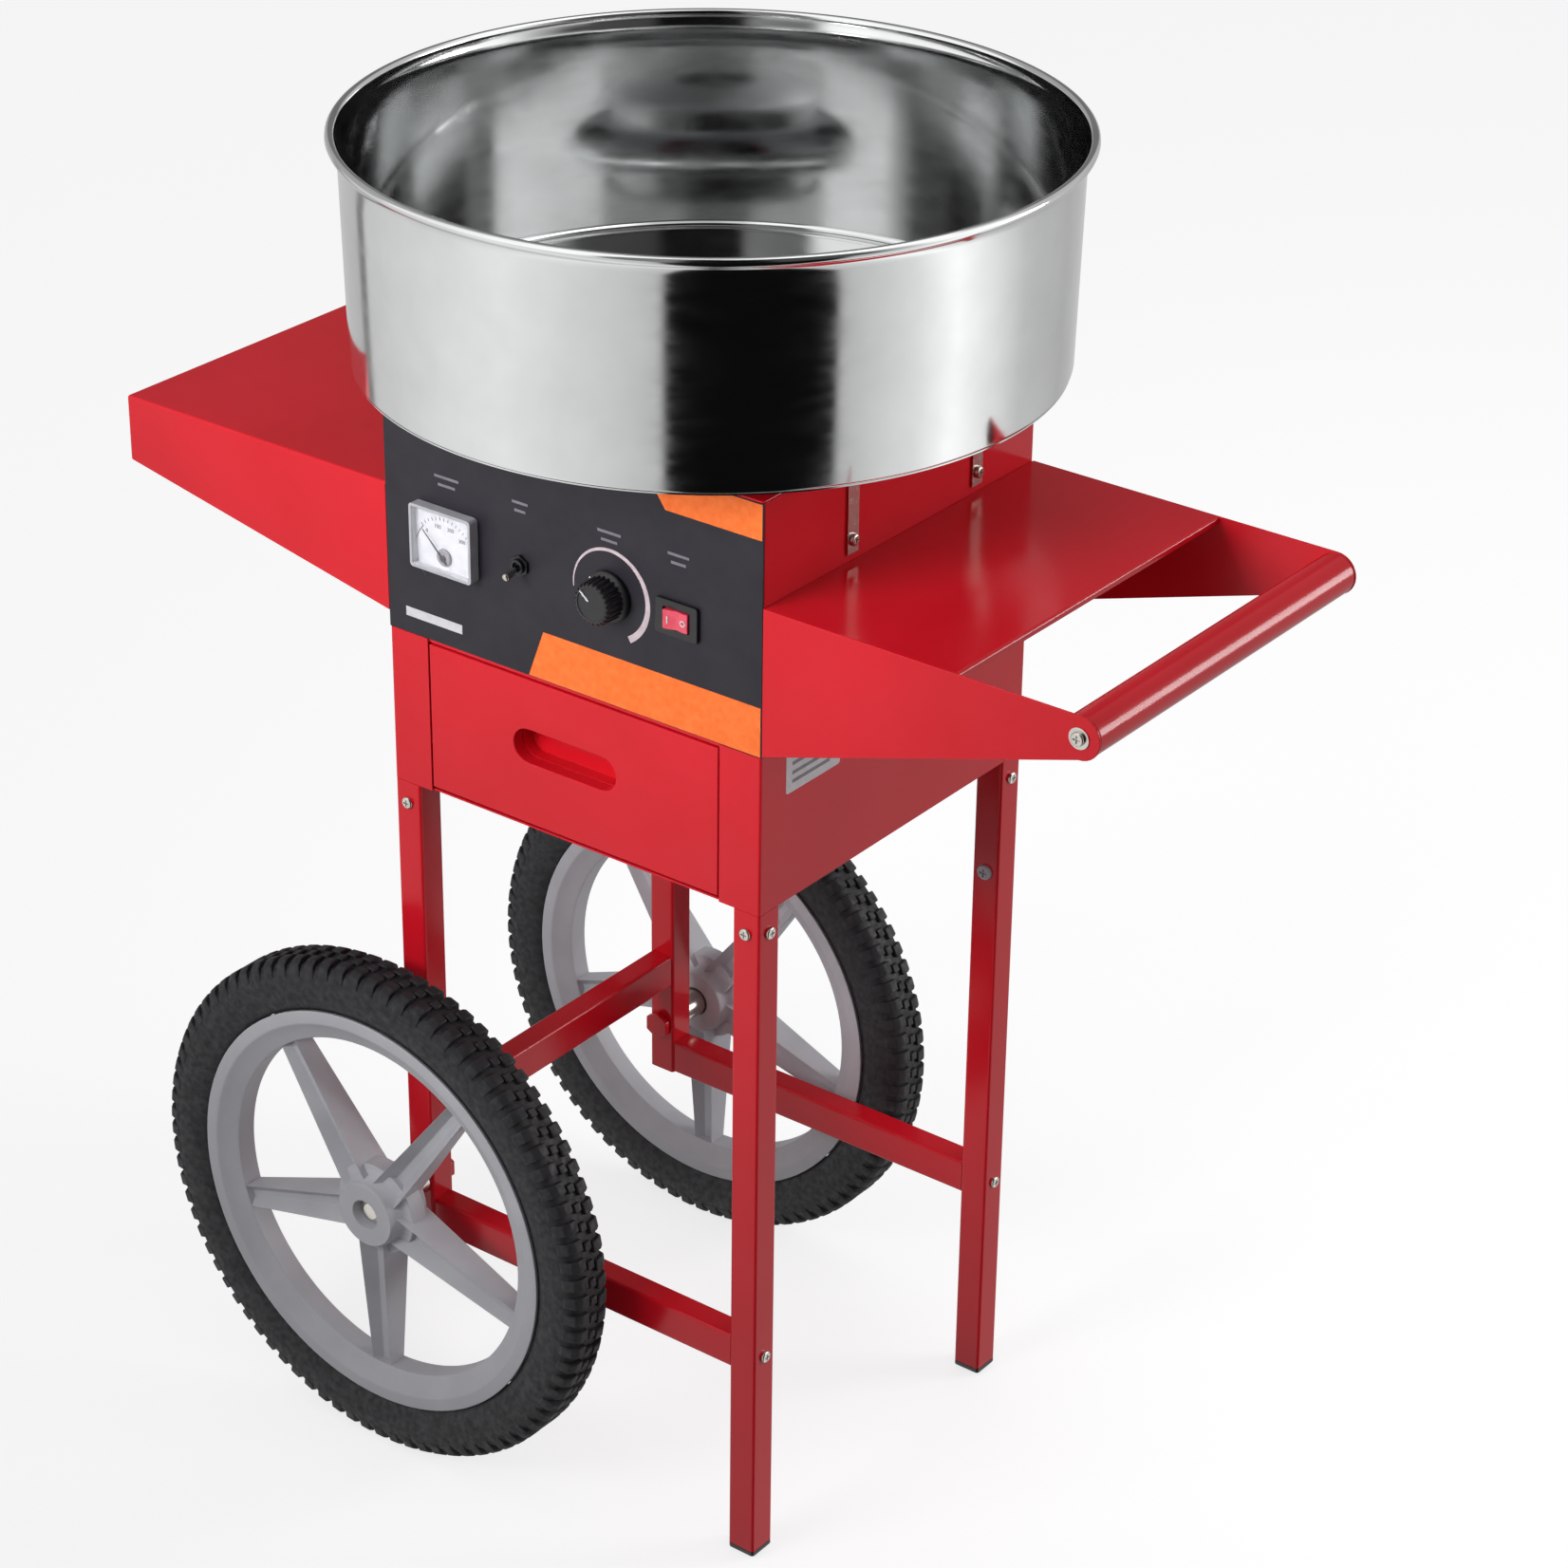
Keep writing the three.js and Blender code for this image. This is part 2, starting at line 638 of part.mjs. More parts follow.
// One wheel's axle: a nut inside the leg, a collar between leg and wheel, and a retaining clip outside the wheel.
function stubAxle(s) {
  const ring = (r, a, b) => rod("y", r, Math.min(s * a, s * b), Math.max(s * a, s * b), AXLE_X, WHEEL_R, 24);
  const legInner = CABINET_HALF_D - LEG;
  const clipInner = WHEEL_Y + HUB_HALF - HUB_RECESS + GAP;
  return join(
    ring(AXLE_R, legInner - 12, WHEEL_Y + 17),
    ring(AXLE_R + 5, legInner - GAP - 7, legInner - GAP),
    ring(AXLE_R + 4, CABINET_HALF_D + GAP, WHEEL_Y - HUB_HALF + HUB_RECESS - GAP),
    ring(AXLE_R + 3.5, clipInner, clipInner + 2.2),
  );
}

function wheels() {
  for (const [place, s] of ENDS) {
    const y = s * WHEEL_Y;
    piece("stub_axle_" + place, stubAxle(s), zincSteel);
    piece("wheel_rim_" + place, rim(y), greyPlastic);
    piece("wheel_spokes_" + place, hubAndSpokes(y), greyPlastic);
    piece("tyre_" + place, tyre(y), blackRubber);
  }
}

// ---- Bowl ----
function bowl() {
  const t = BOWL_SHEET;
  const seat = BOWL_FLOOR + t;
  piece(
    "bowl_wall",
    turned(
      [
        [BOWL_WALL_BOTTOM_R, BOWL_FLOOR + 2], [BOWL_WALL_TOP_R, BOWL_RIM_Z - 12],
        [BOWL_RIM_R - 2, BOWL_RIM_Z - 6],
        [BOWL_RIM_R, BOWL_RIM_Z - 3], [BOWL_RIM_R - 1, BOWL_RIM_Z], [BOWL_RIM_R - 4, BOWL_RIM_Z],
        [BOWL_WALL_TOP_R - t, BOWL_RIM_Z - 10], [BOWL_WALL_BOTTOM_R - t, BOWL_FLOOR + 2],
      ],
      56,
    ),
    polishedSteel,
  );
  piece(
    "bowl_floor",
    turned(
      [
        [BOWL_HOLE_R, BOWL_FLOOR], [BOWL_WALL_BOTTOM_R, BOWL_FLOOR], [BOWL_WALL_BOTTOM_R, seat],
        [BOWL_HOLE_R + t, seat], [BOWL_HOLE_R + t, seat + 8], [BOWL_HOLE_R, seat + 8],
      ],
      56,
    ),
    polishedSteel,
  );
  const low = CABINET_TOP + GAP;
  const top = BOWL_FLOOR - GAP;
  piece("bowl_seat_ring", turned([[118, low], [136, low], [133, top], [121, top]], 32), blackRubber);
}

// A bent strip screwed to the cabinet's side, with its screw: its upper end bears on the bowl's underside.
function bowlClips() {
  const x = CABINET_HALF_W;
  const seat = BOWL_FLOOR - GAP;
  const outline = [
    [x + GAP, CLIP.low], [x + GAP + 1.5, CLIP.low], [x + GAP + 1.5, CLIP.bend], [x + 9, CLIP.bend + 12],
    [x + 9, seat - 3.7], [x + 16, seat], [x + 14, seat], [x + 7.5, seat - 3.2], [x + 7.5, CLIP.bend + 12.6],
    [x + GAP, CLIP.bend + 1],
  ];
  for (const [side, s] of SIDES)
    for (const [place] of ENDS) {
      const y = CLIP.ys[place];
      const strip = s < 0 ? outline.map(([px, pz]) => [-px, pz]).reverse() : outline;
      const [head0, head1] = [s * (x + 1), s * (x + 5)];
      const screw = rod("x", 4.5, Math.min(head0, head1), Math.max(head0, head1), y, CLIP.screwZ, 16);
      piece(
        "bowl_clip_" + side + "_" + place,
        join(plateXZ(strip, y - CLIP.w / 2, y + CLIP.w / 2), screw),
        polishedSteel,
      );
    }
}

// ---- Motor, brushes and spinner head ----
function motor() {
  const low = PANEL_BOTTOM + 10 + SHEET + GAP;
  const bodyTop = low + MOTOR.lift + MOTOR.h;
  piece(
    "motor_body",
    cut(
      join(
        rod("z", MOTOR.r, low + MOTOR.lift, bodyTop, 0, 0, 32),
        rod("z", MOTOR.hub, low, bodyTop + 8, 0, 0, 24),
      ),
      rod("z", SHAFT_R + 3, low - 1, bodyTop + 9, 0, 0, 20),
    ),
    castAluminium,
  );
  const bridge = MOTOR_BRACKET;
  const bracketTop = bodyTop + 10;
  const deckTop = bracketTop + bridge.t;
  piece(
    "motor_bracket",
    cut(
      join(
        box(-bridge.reach, bridge.reach, -bridge.w / 2, bridge.w / 2, bracketTop, deckTop),
        box(-bridge.reach, -bridge.reach + bridge.t, -bridge.w / 2, bridge.w / 2, low, bracketTop + 1),
        box(bridge.reach - bridge.t, bridge.reach, -bridge.w / 2, bridge.w / 2, low, bracketTop + 1),
      ),
      rod("z", SHAFT_R + 4, bracketTop - 1, deckTop + 1, 0, 0, 24),
    ),
    zincSteel,
  );
  const bearingLow = deckTop + GAP;
  const bearingTop = bearingLow + 9;
  piece(
    "top_bearing",
    cut(
      rod("z", 14, bearingLow, bearingTop, 0, 0, 24),
      rod("z", SHAFT_R + 0.1, bearingLow - 1, bearingTop + 1, 0, 0, 24),
    ),
    zincSteel,
  );
  // The shaft with the nut that clamps the head on its end.
  const nut = new THREE.CylinderGeometry(9, 9, 7, 6).rotateX(Math.PI / 2).translate(0, 0, HEAD_BOTTOM + 12);
  piece("spinner_shaft", join(rod("z", SHAFT_R, low + 4, HEAD_BOTTOM + 19, 0, 0, 24), nut), zincSteel);
  // Two copper bands on the shaft, and a carbon brush on each.
  const rings = SLIP_RINGS;
  const bore = SHAFT_R + 0.2;
  const ringLow = bearingTop + 3;
  const ringHigh = ringLow + rings.h;
  piece(
    "slip_rings",
    turned(
      [
        [bore, ringLow], [rings.r, ringLow], [rings.r, ringLow + rings.band],
        [rings.waist, ringLow + rings.band],
        [rings.waist, ringHigh - rings.band], [rings.r, ringHigh - rings.band], [rings.r, ringHigh],
        [bore, ringHigh],
      ],
      20,
    ),
    copper,
  );
  const brushZs = { lower: ringLow + rings.band / 2, upper: ringHigh - rings.band / 2 };
  const pockets = [];
  for (const [place, z] of Object.entries(brushZs)) {
    piece("carbon_brush_" + place, box(rings.r + 0.4, 33, -4, 4, z - 3, z + 3), carbon);
    pockets.push(box(25, 34, -4.3, 4.3, z - 3.3, z + 3.3));
  }
  piece("brush_holder", cut(box(26, 48, -10, 10, bearingLow, ringHigh + 4), ...pockets), blackPlastic);
}

function spinnerHead() {
  const z = HEAD_BOTTOM;
  const r = HEAD_R;
  piece(
    "spinner_base",
    turned(
      [
        [SHAFT_R + 0.2, z - 6], [14, z - 6], [14, z], [r - 4, z], [r, z + 4], [r, z + 7], [r - 3, z + 7],
        [r - 6, z + 3], [20, z + 3], [20, z + 8], [SHAFT_R + 0.2, z + 8],
      ],
      HEAD_SEGMENTS,
    ),
    castAluminium,
  );
  piece(
    "heating_ring",
    turned([[r - 14, z + 4], [r - 9, z + 4], [r - 9, z + 22], [r - 14, z + 22]], HEAD_SEGMENTS),
    nickelRibbon,
  );
  const [bandIn, bandOut] = [r - 4.5, r - 3.3];
  const bandProfile = [[bandIn, z + 7.5], [bandOut, z + 7.5], [bandOut, z + 24], [bandIn, z + 24]];
  piece("perforated_band", turned(bandProfile, HEAD_SEGMENTS), polishedSteel);
  piece(
    "spinner_cover",
    turned(
      [
        [26, z + 28], [r, z + 24.4], [r + 0.5, z + 26], [r - 2, z + 27.5], [28, z + 34], [26, z + 34],
      ],
      HEAD_SEGMENTS,
    ),
    castAluminium,
  );
}

// ---- Cable inlet at the back ----
function inletGland() {
  const d = CABINET_HALF_D;
  piece(
    "inlet_gland",
    cut(
      join(rod("y", 13, d + GAP, d + 6, INLET.x, INLET.z), rod("y", 8.5, d - 8, d + 14, INLET.x, INLET.z)),
      rod("y", INLET.bore, d - 9, d + 15, INLET.x, INLET.z, 20),
    ),
    blackPlastic,
  );
}

cabinet();
controlPanel();
voltmeter();
toggleSwitch();
regulator();
rockerSwitch();
drawer();
leftShelf();
rightTray();
legsAndRails();
wheels();
bowl();
bowlClips();
motor();
spinnerHead();
inletGland();

export default cart;
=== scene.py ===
"""A cotton candy machine on its two-wheeled cart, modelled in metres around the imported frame.

Front is -Y, the push handle is at +X and the wheels are at -X.
"""
import math

import bmesh
import bpy
from mathutils import Matrix, Vector


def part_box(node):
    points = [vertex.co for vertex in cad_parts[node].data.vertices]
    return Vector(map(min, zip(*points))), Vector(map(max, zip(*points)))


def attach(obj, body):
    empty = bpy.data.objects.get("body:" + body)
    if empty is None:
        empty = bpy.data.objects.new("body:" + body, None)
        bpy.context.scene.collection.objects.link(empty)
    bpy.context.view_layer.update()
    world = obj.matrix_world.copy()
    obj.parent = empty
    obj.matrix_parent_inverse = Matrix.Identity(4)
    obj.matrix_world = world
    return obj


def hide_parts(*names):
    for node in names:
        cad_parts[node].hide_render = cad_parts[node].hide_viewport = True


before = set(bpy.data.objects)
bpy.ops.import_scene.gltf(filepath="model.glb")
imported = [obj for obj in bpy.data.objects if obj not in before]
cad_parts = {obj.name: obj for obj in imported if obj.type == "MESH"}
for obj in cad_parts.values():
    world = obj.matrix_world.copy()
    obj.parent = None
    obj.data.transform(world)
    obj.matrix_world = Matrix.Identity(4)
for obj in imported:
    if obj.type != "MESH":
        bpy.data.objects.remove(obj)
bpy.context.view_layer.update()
bpy.ops.object.select_all(action="DESELECT")

MM = 0.001
TURN = 2 * math.pi
SHEET = 1.5 * MM  # sheet steel of cabinet, shelf and tray
ENDS = (("front", -1), ("rear", 1))
X, Y, Z = Vector((1, 0, 0)), Vector((0, 1, 0)), Vector((0, 0, 1))

CAB_LO, CAB_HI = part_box("cabinet_shell")
MID_X = (CAB_LO.x + CAB_HI.x) / 2
FRONT = CAB_LO.y


def at(x, y, z):
    """A place in millimetres from the cabinet's middle, as metres in the row frame."""
    return Vector((MID_X + x * MM, y * MM, z * MM))


# ---- Camera ----
CAMERA_PLACE = at(1633.4, -2092.6, 1928.2)
CAMERA_TURN = (36.82, 27.76, 0.77)  # yaw from the front, pitch above the horizon and roll, in degrees


def make_camera():
    yaw, pitch, roll = (math.radians(a) for a in CAMERA_TURN)
    back = Vector((math.sin(yaw) * math.cos(pitch), -math.cos(yaw) * math.cos(pitch), math.sin(pitch)))
    level = Vector((math.cos(yaw), math.sin(yaw), 0))
    rise = back.cross(level)
    right = math.cos(roll) * level + math.sin(roll) * rise
    up = -math.sin(roll) * level + math.cos(roll) * rise
    data = bpy.data.cameras.new("camera")
    data.lens = 94.64
    data.sensor_width = 36
    data.clip_end = 50
    camera = bpy.data.objects.new("camera", data)
    bpy.context.scene.collection.objects.link(camera)
    camera.matrix_world = Matrix.Translation(CAMERA_PLACE) @ Matrix((right, up, back)).transposed().to_4x4()
    bpy.context.scene.camera = camera


make_camera()


# ---- Modelling helpers ----
def only(obj):
    bpy.ops.object.select_all(action="DESELECT")
    obj.select_set(True)
    bpy.context.view_layer.objects.active = obj


def settle(name):
    """Names the new primitive and moves its place and size into its mesh."""
    obj = bpy.context.active_object
    obj.name = obj.data.name = name
    bpy.ops.object.transform_apply(location=True, rotation=True, scale=True)
    return obj


def block(name, lo, hi):
    bpy.ops.object.select_all(action="DESELECT")
    bpy.ops.mesh.primitive_cube_add(size=1, location=(lo + hi) / 2, scale=hi - lo)
    return settle(name)


def drum(name, radius, start, end, sides=64):
    """A closed cylinder between two points."""
    bpy.ops.object.select_all(action="DESELECT")
    bpy.ops.mesh.primitive_cylinder_add(
        vertices=sides,
        radius=radius,
        depth=(end - start).length,
        location=(start + end) / 2,
        rotation=(end - start).to_track_quat("Z", "Y").to_euler(),
    )
    return settle(name)


def edit(obj):
    only(obj)
    bpy.ops.object.mode_set(mode="EDIT")


def leave():
    bpy.ops.object.mode_set(mode="OBJECT")


def choose(kind, test):
    """In edit mode, selects the faces, edges or vertices whose middle and normal (direction for an edge) pass."""
    bpy.ops.mesh.select_mode(type=kind)
    bpy.ops.mesh.select_all(action="DESELECT")
    mesh = bpy.context.active_object.data
    bm = bmesh.from_edit_mesh(mesh)
    for item in {"FACE": bm.faces, "EDGE": bm.edges, "VERT": bm.verts}[kind]:
        if kind == "FACE":
            middle, way = item.calc_center_median(), item.normal
        elif kind == "EDGE":
            a, b = (v.co for v in item.verts)
            middle, way = (a + b) / 2, (b - a).normalized()
        else:
            middle, way = item.co, item.normal
        if test(middle, way):
            item.select_set(True)
    bm.select_flush_mode()
    bmesh.update_edit_mesh(mesh)


def shift(step):
    bpy.ops.transform.translate(value=step)


def pull(step):
    """Extrudes the selected faces by one step."""
    bpy.ops.mesh.extrude_region_move(TRANSFORM_OT_translate={"value": step})


def round_edges(obj, along, radius, segments=4):
    """Bevels the edges that run along one axis."""
    edit(obj)
    choose("EDGE", lambda p, w: abs(w.dot(along)) > 0.9)
    bpy.ops.mesh.bevel(offset=radius, segments=segments, affect="EDGES")
    leave()


def shape(obj, kind, **settings):
    """Adds one modifier, sets it and applies it."""
    only(obj)
    modifier = obj.modifiers.new(kind.title(), kind)
    for key, value in settings.items():
        setattr(modifier, key, value)
    bpy.ops.object.modifier_apply(modifier=modifier.name)
    return obj


def carve(obj, *tools):
    """Cuts the tools out of a piece and removes them."""
    for tool in tools:
        shape(obj, "BOOLEAN", operation="DIFFERENCE", solver="EXACT", object=tool)
        bpy.data.objects.remove(tool)
    return obj


def weld(*parts):
    """Joins parts into the first."""
    only(parts[0])
    for part in parts[1:]:
        part.select_set(True)
    bpy.ops.object.join()
    return parts[0]


def soften(obj, width, segments=2, angle=30):
    """Rounds the sharp edges and smooths the shading over them."""
    if width:
        shape(
            obj,
            "BEVEL",
            width=width,
            segments=segments,
            limit_method="ANGLE",
            angle_limit=math.radians(angle),
            miter_outer="MITER_ARC",
        )
    only(obj)
    bpy.ops.object.shade_smooth_by_angle(angle=math.radians(38))
    return shape(obj, "WEIGHTED_NORMAL", keep_sharp=True, weight=80)


def thicken(obj):
    """Gives an open surface the thickness of the sheet steel, grown inwards."""
    return shape(obj, "SOLIDIFY", thickness=SHEET, offset=-1, use_even_offset=True)


def outwards(obj):
    """Merges doubled vertices and points every face out."""
    edit(obj)
    bpy.ops.mesh.select_all(action="SELECT")
    bpy.ops.mesh.remove_doubles(threshold=0.01 * MM)
    bpy.ops.mesh.normals_make_consistent(inside=False)
    leave()
    return obj


def trace(name, points, closed=True):
    """Pulls one vertex along a line of points; leaves the chain of edges selected in edit mode."""
    bpy.ops.object.select_all(action="DESELECT")
    bpy.ops.mesh.primitive_plane_add(size=MM, location=points[0])
    obj = settle(name)
    bpy.ops.object.mode_set(mode="EDIT")
    bpy.ops.mesh.select_mode(type="VERT")
    bpy.ops.mesh.select_all(action="SELECT")
    bpy.ops.mesh.merge(type="CENTER")
    for a, b in zip(points, points[1:]):
        bpy.ops.mesh.extrude_vertices_move(TRANSFORM_OT_translate={"value": b - a})
    if closed:
        first, last = points[0], points[-1]
        choose("VERT", lambda p, n: min((p - first).length, (p - last).length) < 1e-6)
        bpy.ops.mesh.edge_face_add()
    bpy.ops.mesh.select_all(action="SELECT")
    return obj


def slab(name, points, step):
    """A closed outline, filled and pulled out by one step."""
    obj = trace(name, points)
    bpy.ops.mesh.edge_face_add()
    pull(step)
    leave()
    return outwards(obj)


def spun(name, profile, centre, axis=Z, steps=96, closed=True):
    """A profile of [radius, height] in millimetres, spun all the way round an axis through a point."""
    side = X if abs(axis.x) < 0.9 else Z
    side = (side - axis * side.dot(axis)).normalized()
    points = [centre + side * r * MM + axis * h * MM for r, h in profile]
    obj = trace(name, points, closed)
    bpy.ops.mesh.spin(steps=steps, angle=TURN, center=centre, axis=axis)
    leave()
    return outwards(obj)


def arc(name, centre, r0, r1, start, sweep, depth, steps=32):
    """A flat band on a face towards -Y, from one angle clockwise from the top, between two radii in millimetres."""
    way = Vector((math.sin(start), 0, math.cos(start)))
    obj = trace(name, [centre + way * r0 * MM, centre + way * r1 * MM], closed=False)
    bpy.ops.mesh.spin(steps=steps, angle=sweep, center=centre, axis=Y)
    bpy.ops.mesh.select_all(action="SELECT")
    pull(-Y * depth)
    leave()
    return outwards(obj)


def repeat(obj, steps, angle, centre, axis):
    """Copies the whole mesh round an axis, steps times over an angle."""
    edit(obj)
    bpy.ops.mesh.select_all(action="SELECT")
    bpy.ops.mesh.spin(steps=steps, angle=angle, dupli=True, center=centre, axis=axis)
    leave()
    return obj


def copied(obj, name):
    """A copy with its own mesh, left in edit mode with everything selected."""
    only(obj)
    bpy.ops.object.duplicate()
    copy = bpy.context.active_object
    copy.name = copy.data.name = name
    bpy.ops.object.mode_set(mode="EDIT")
    bpy.ops.mesh.select_all(action="SELECT")
    return copy


def twin(obj, name, step):
    """A copy with its own mesh, moved by one step."""
    copy = copied(obj, name)
    shift(step)
    leave()
    return copy


def mirrored(obj, name):
    """A copy with its own mesh, mirrored across the cabinet's middle from left to right."""
    copy = copied(obj, name)
    bpy.ops.transform.resize(value=(-1, 1, 1), center_override=(MID_X, 0, 0))
    bpy.ops.mesh.normals_make_consistent(inside=False)
    leave()
    return copy


def screws(name, radius, height, axis, places):
    """Pan-head screws with a cross recess, all facing one way; each place is under a head."""
    first = places[0]
    head = drum(name, radius, first, first + axis * height, 32)
    edit(head)
    choose("EDGE", lambda p, w: (p - first).dot(axis) > height * 0.9)
    bpy.ops.mesh.bevel(offset=height * 0.55, segments=3, affect="EDGES")
    leave()
    top = first + axis * height
    across = [v for v in (X, Y, Z) if abs(v.dot(axis)) < 0.5]
    arms = []
    for long, short in (across, across[::-1]):
        half = long * radius * 0.55 + short * radius * 0.11 + axis * height * 0.45
        half = Vector(abs(c) for c in half)
        arms.append(block("recess", top - half, top + half))
    carve(head, *arms)
    soften(head, 0)
    for place in places[1:]:
        edit(head)
        choose("VERT", lambda p, n: (p - first - axis * height / 2).length < radius * 1.6)
        bpy.ops.mesh.duplicate()
        shift(place - first)
        leave()
    return head


# ---- Materials ----
def linear(hex_colour):
    """sRGB hex to the linear values that the shader takes."""
    parts = [int(hex_colour[i : i + 2], 16) / 255 for i in (1, 3, 5)]
    return tuple(c / 12.92 if c <= 0.04045 else ((c + 0.055) / 1.055) ** 2.4 for c in parts) + (1,)


def node(tree, kind, inputs=(), **settings):
    """Adds one node, sets its settings, and sets or links its inputs."""
    made = tree.nodes.new(kind)
    for key, value in settings.items():
        setattr(made, key, value)
    for key, value in dict(inputs).items():
        if isinstance(value, bpy.types.NodeSocket):
            tree.links.new(value, made.inputs[key])
        else:
            made.inputs[key].default_value = value
    return made


FINISHES = {}


def finish(name, slot, **sockets):
    """A new material with its shader's own values set; returns its tree, shader and Object coordinates."""
    material = bpy.data.materials.new(name)
    material.use_nodes = True
    tree = material.node_tree
    shader = tree.nodes["Principled BSDF"]
    for key, value in sockets.items():
        shader.inputs[key.replace("_", " ")].default_value = value
    FINISHES[name] = (material, slot)
    place = node(tree, "ShaderNodeTexCoord").outputs["Object"]
    return tree, shader, place


def grain(tree, place, size, detail=3, stretch=(1, 1, 1)):
    """Noise whose features are about size metres across."""
    where = node(tree, "ShaderNodeMapping", {"Vector": place, "Scale": stretch}).outputs[0]
    return node(tree, "ShaderNodeTexNoise", {"Vector": where, "Scale": 1 / size, "Detail": detail}).outputs[0]


def between(tree, factor, low, high, start=0.3, end=0.7):
    """A value that goes from low to high as the factor goes from start to end."""
    ends = {"From Min": start, "From Max": end, "To Min": low, "To Max": high}
    return node(tree, "ShaderNodeMapRange", {"Value": factor, **ends}).outputs[0]


def tinted(tree, shader, factor, dark, light):
    """Colour that drifts between two close shades."""
    ramp = node(tree, "ShaderNodeValToRGB", {"Fac": factor})
    for element, position, colour in zip(ramp.color_ramp.elements, (0.3, 0.7), (dark, light)):
        element.position = position
        element.color = linear(colour)
    tree.links.new(ramp.outputs[0], shader.inputs["Base Color"])


def embossed(tree, shader, height, depth, strength):
    """Bump of a depth in metres."""
    bump = node(tree, "ShaderNodeBump", {"Height": height, "Distance": depth, "Strength": strength})
    tree.links.new(bump.outputs[0], shader.inputs["Normal"])


def rough(tree, shader, factor, low, high):
    tree.links.new(between(tree, factor, low, high), shader.inputs["Roughness"])


def layered(name, slot, tint, gloss, skin, **sockets):
    """A finish of three noises, each with its size in millimetres, two values and any settings of the noise.

    Colour drifts between two shades, roughness between two values, and the skin has a depth and a strength of bump.
    """
    tree, shader, place = finish(name, slot, **sockets)

    def noise(size, settings=()):
        return grain(tree, place, size * MM, **dict(settings))

    size, dark, light, *settings = tint
    tinted(tree, shader, noise(size, *settings), dark, light)
    size, low, high, *settings = gloss
    rough(tree, shader, noise(size, *settings), low, high)
    size, depth, strength, *settings = skin
    embossed(tree, shader, noise(size, *settings), depth * MM, strength)


RED = "red_gloss_powder_coat"
NICKEL = "nickel_plated_steel"
ZINC = "galvanised_sheet"
MIRROR = "mirror_rolled_stainless"
CAST = "die_cast_aluminium"
BLACK = "black_moulded_abs"
WHITE = "white_moulded_abs"
BRUSHED = {"stretch": (1, 1, 0.2)}

# Gloss polyester powder coat, baked on sheet steel: deep red; its fine orange peel, 1 to 3 mm from crest to crest,
# breaks up the reflections.
layered(
    RED, "red_enamel", (120, "#CB1220", "#D51828"), (50, 0.14, 0.22), (2.2, 0.02, 0.5, {"detail": 1}),
    IOR=1.5, Specular_IOR_Level=0.27,
)

# Screen-printed polyester film on the panel: charcoal, satin, with a fine sand texture.
layered(
    "charcoal_panel_film", "panel_print", (30, "#252329", "#2B292F"), (10, 0.38, 0.5), (0.5, 0.01, 0.6, {"detail": 2}),
    IOR=1.5, Specular_IOR_Level=0.25,
)

# Screen ink on the same film: it lies slightly uneven, so its colour drifts a little.
for ink, dark, light in (
    ("orange_screen_ink", "#F06A24", "#FA7C36"),
    ("pale_screen_ink", "#B9A8AE", "#CDBDC2"),
    ("white_screen_ink", "#C6C4C8", "#D2D0D4"),
    ("dark_screen_ink", "#28282C", "#323236"),
    ("grey_screen_ink", "#6C6870", "#7A767E"),
):
    layered(ink, "panel_print", (6, dark, light), (3, 0.4, 0.5), (0.4, 0.005, 0.4), IOR=1.5)

# Mirror-rolled stainless steel, drawn round on the spinning lathe: faint wiping marks, and fine rings around the
# bowl that are drawn coarser than the real ones so that they show.
layered(
    MIRROR, "polished_steel", (50, "#D9DADA", "#E2E3E3"), (30, 0.07, 0.13, {"stretch": (1, 1, 3)}),
    (1.2, 0.004, 0.5, {"detail": 2, "stretch": (0.02, 0.02, 1)}), Metallic=1.0, Anisotropic=0.3,
)

# Bright nickel-plated steel on screws, clips and the toggle: small scratches and a warm grey.
layered(
    NICKEL, "zinc_steel", (8, "#C6C2BA", "#D2CFC8"), (3, 0.16, 0.28), (0.6, 0.01, 0.4, BRUSHED), Metallic=1.0,
)

# Galvanised sheet of the drawer box and deck: zinc crystals about 9 mm across, each with its own grey and gloss.
tree, shader, place = finish(ZINC, "zinc_steel", Metallic=1.0)
crystals = node(tree, "ShaderNodeTexVoronoi", {"Vector": place, "Scale": 1 / (9 * MM), "Randomness": 1.0})
shade = node(tree, "ShaderNodeSeparateColor", {"Color": crystals.outputs["Color"]}).outputs[0]
tinted(tree, shader, shade, "#A4A8AC", "#BDC0C3")
rough(tree, shader, shade, 0.28, 0.5)
embossed(tree, shader, grain(tree, place, 1.5 * MM), 0.01 * MM, 0.5)

# Die-cast aluminium of the spinner head and motor: a dull silver with a fine sandy skin.
layered(
    CAST, "cast_aluminium", (20, "#B8BABC", "#C8CACB"), (5, 0.3, 0.48), (0.7, 0.03, 0.6, {"detail": 4}), Metallic=1.0,
)

# Injection-moulded polypropylene of the wheels: mid grey, soft sheen, spark-eroded texture and faint flow marks.
layered(
    "grey_moulded_polypropylene", "wheel_grey", (40, "#B6B6BC", "#C2C2C8", {"detail": 4}), (20, 0.42, 0.56),
    (0.6, 0.03, 0.5), IOR=1.49, Sheen_Weight=0.05,
)

# Foamed EVA rubber of the tyres: near black, matte, pored, with a little dust caught in it.
tree, shader, place = finish("black_eva_tyre_foam", "tyre_rubber", IOR=1.5)
tinted(tree, shader, grain(tree, place, 9 * MM, detail=5), "#161618", "#26262A")
rough(tree, shader, grain(tree, place, 5 * MM), 0.55, 0.8)
pores = node(tree, "ShaderNodeTexVoronoi", {"Vector": place, "Scale": 1 / (1.2 * MM)}).outputs["Distance"]
embossed(tree, shader, pores, 0.08 * MM, 0.6)

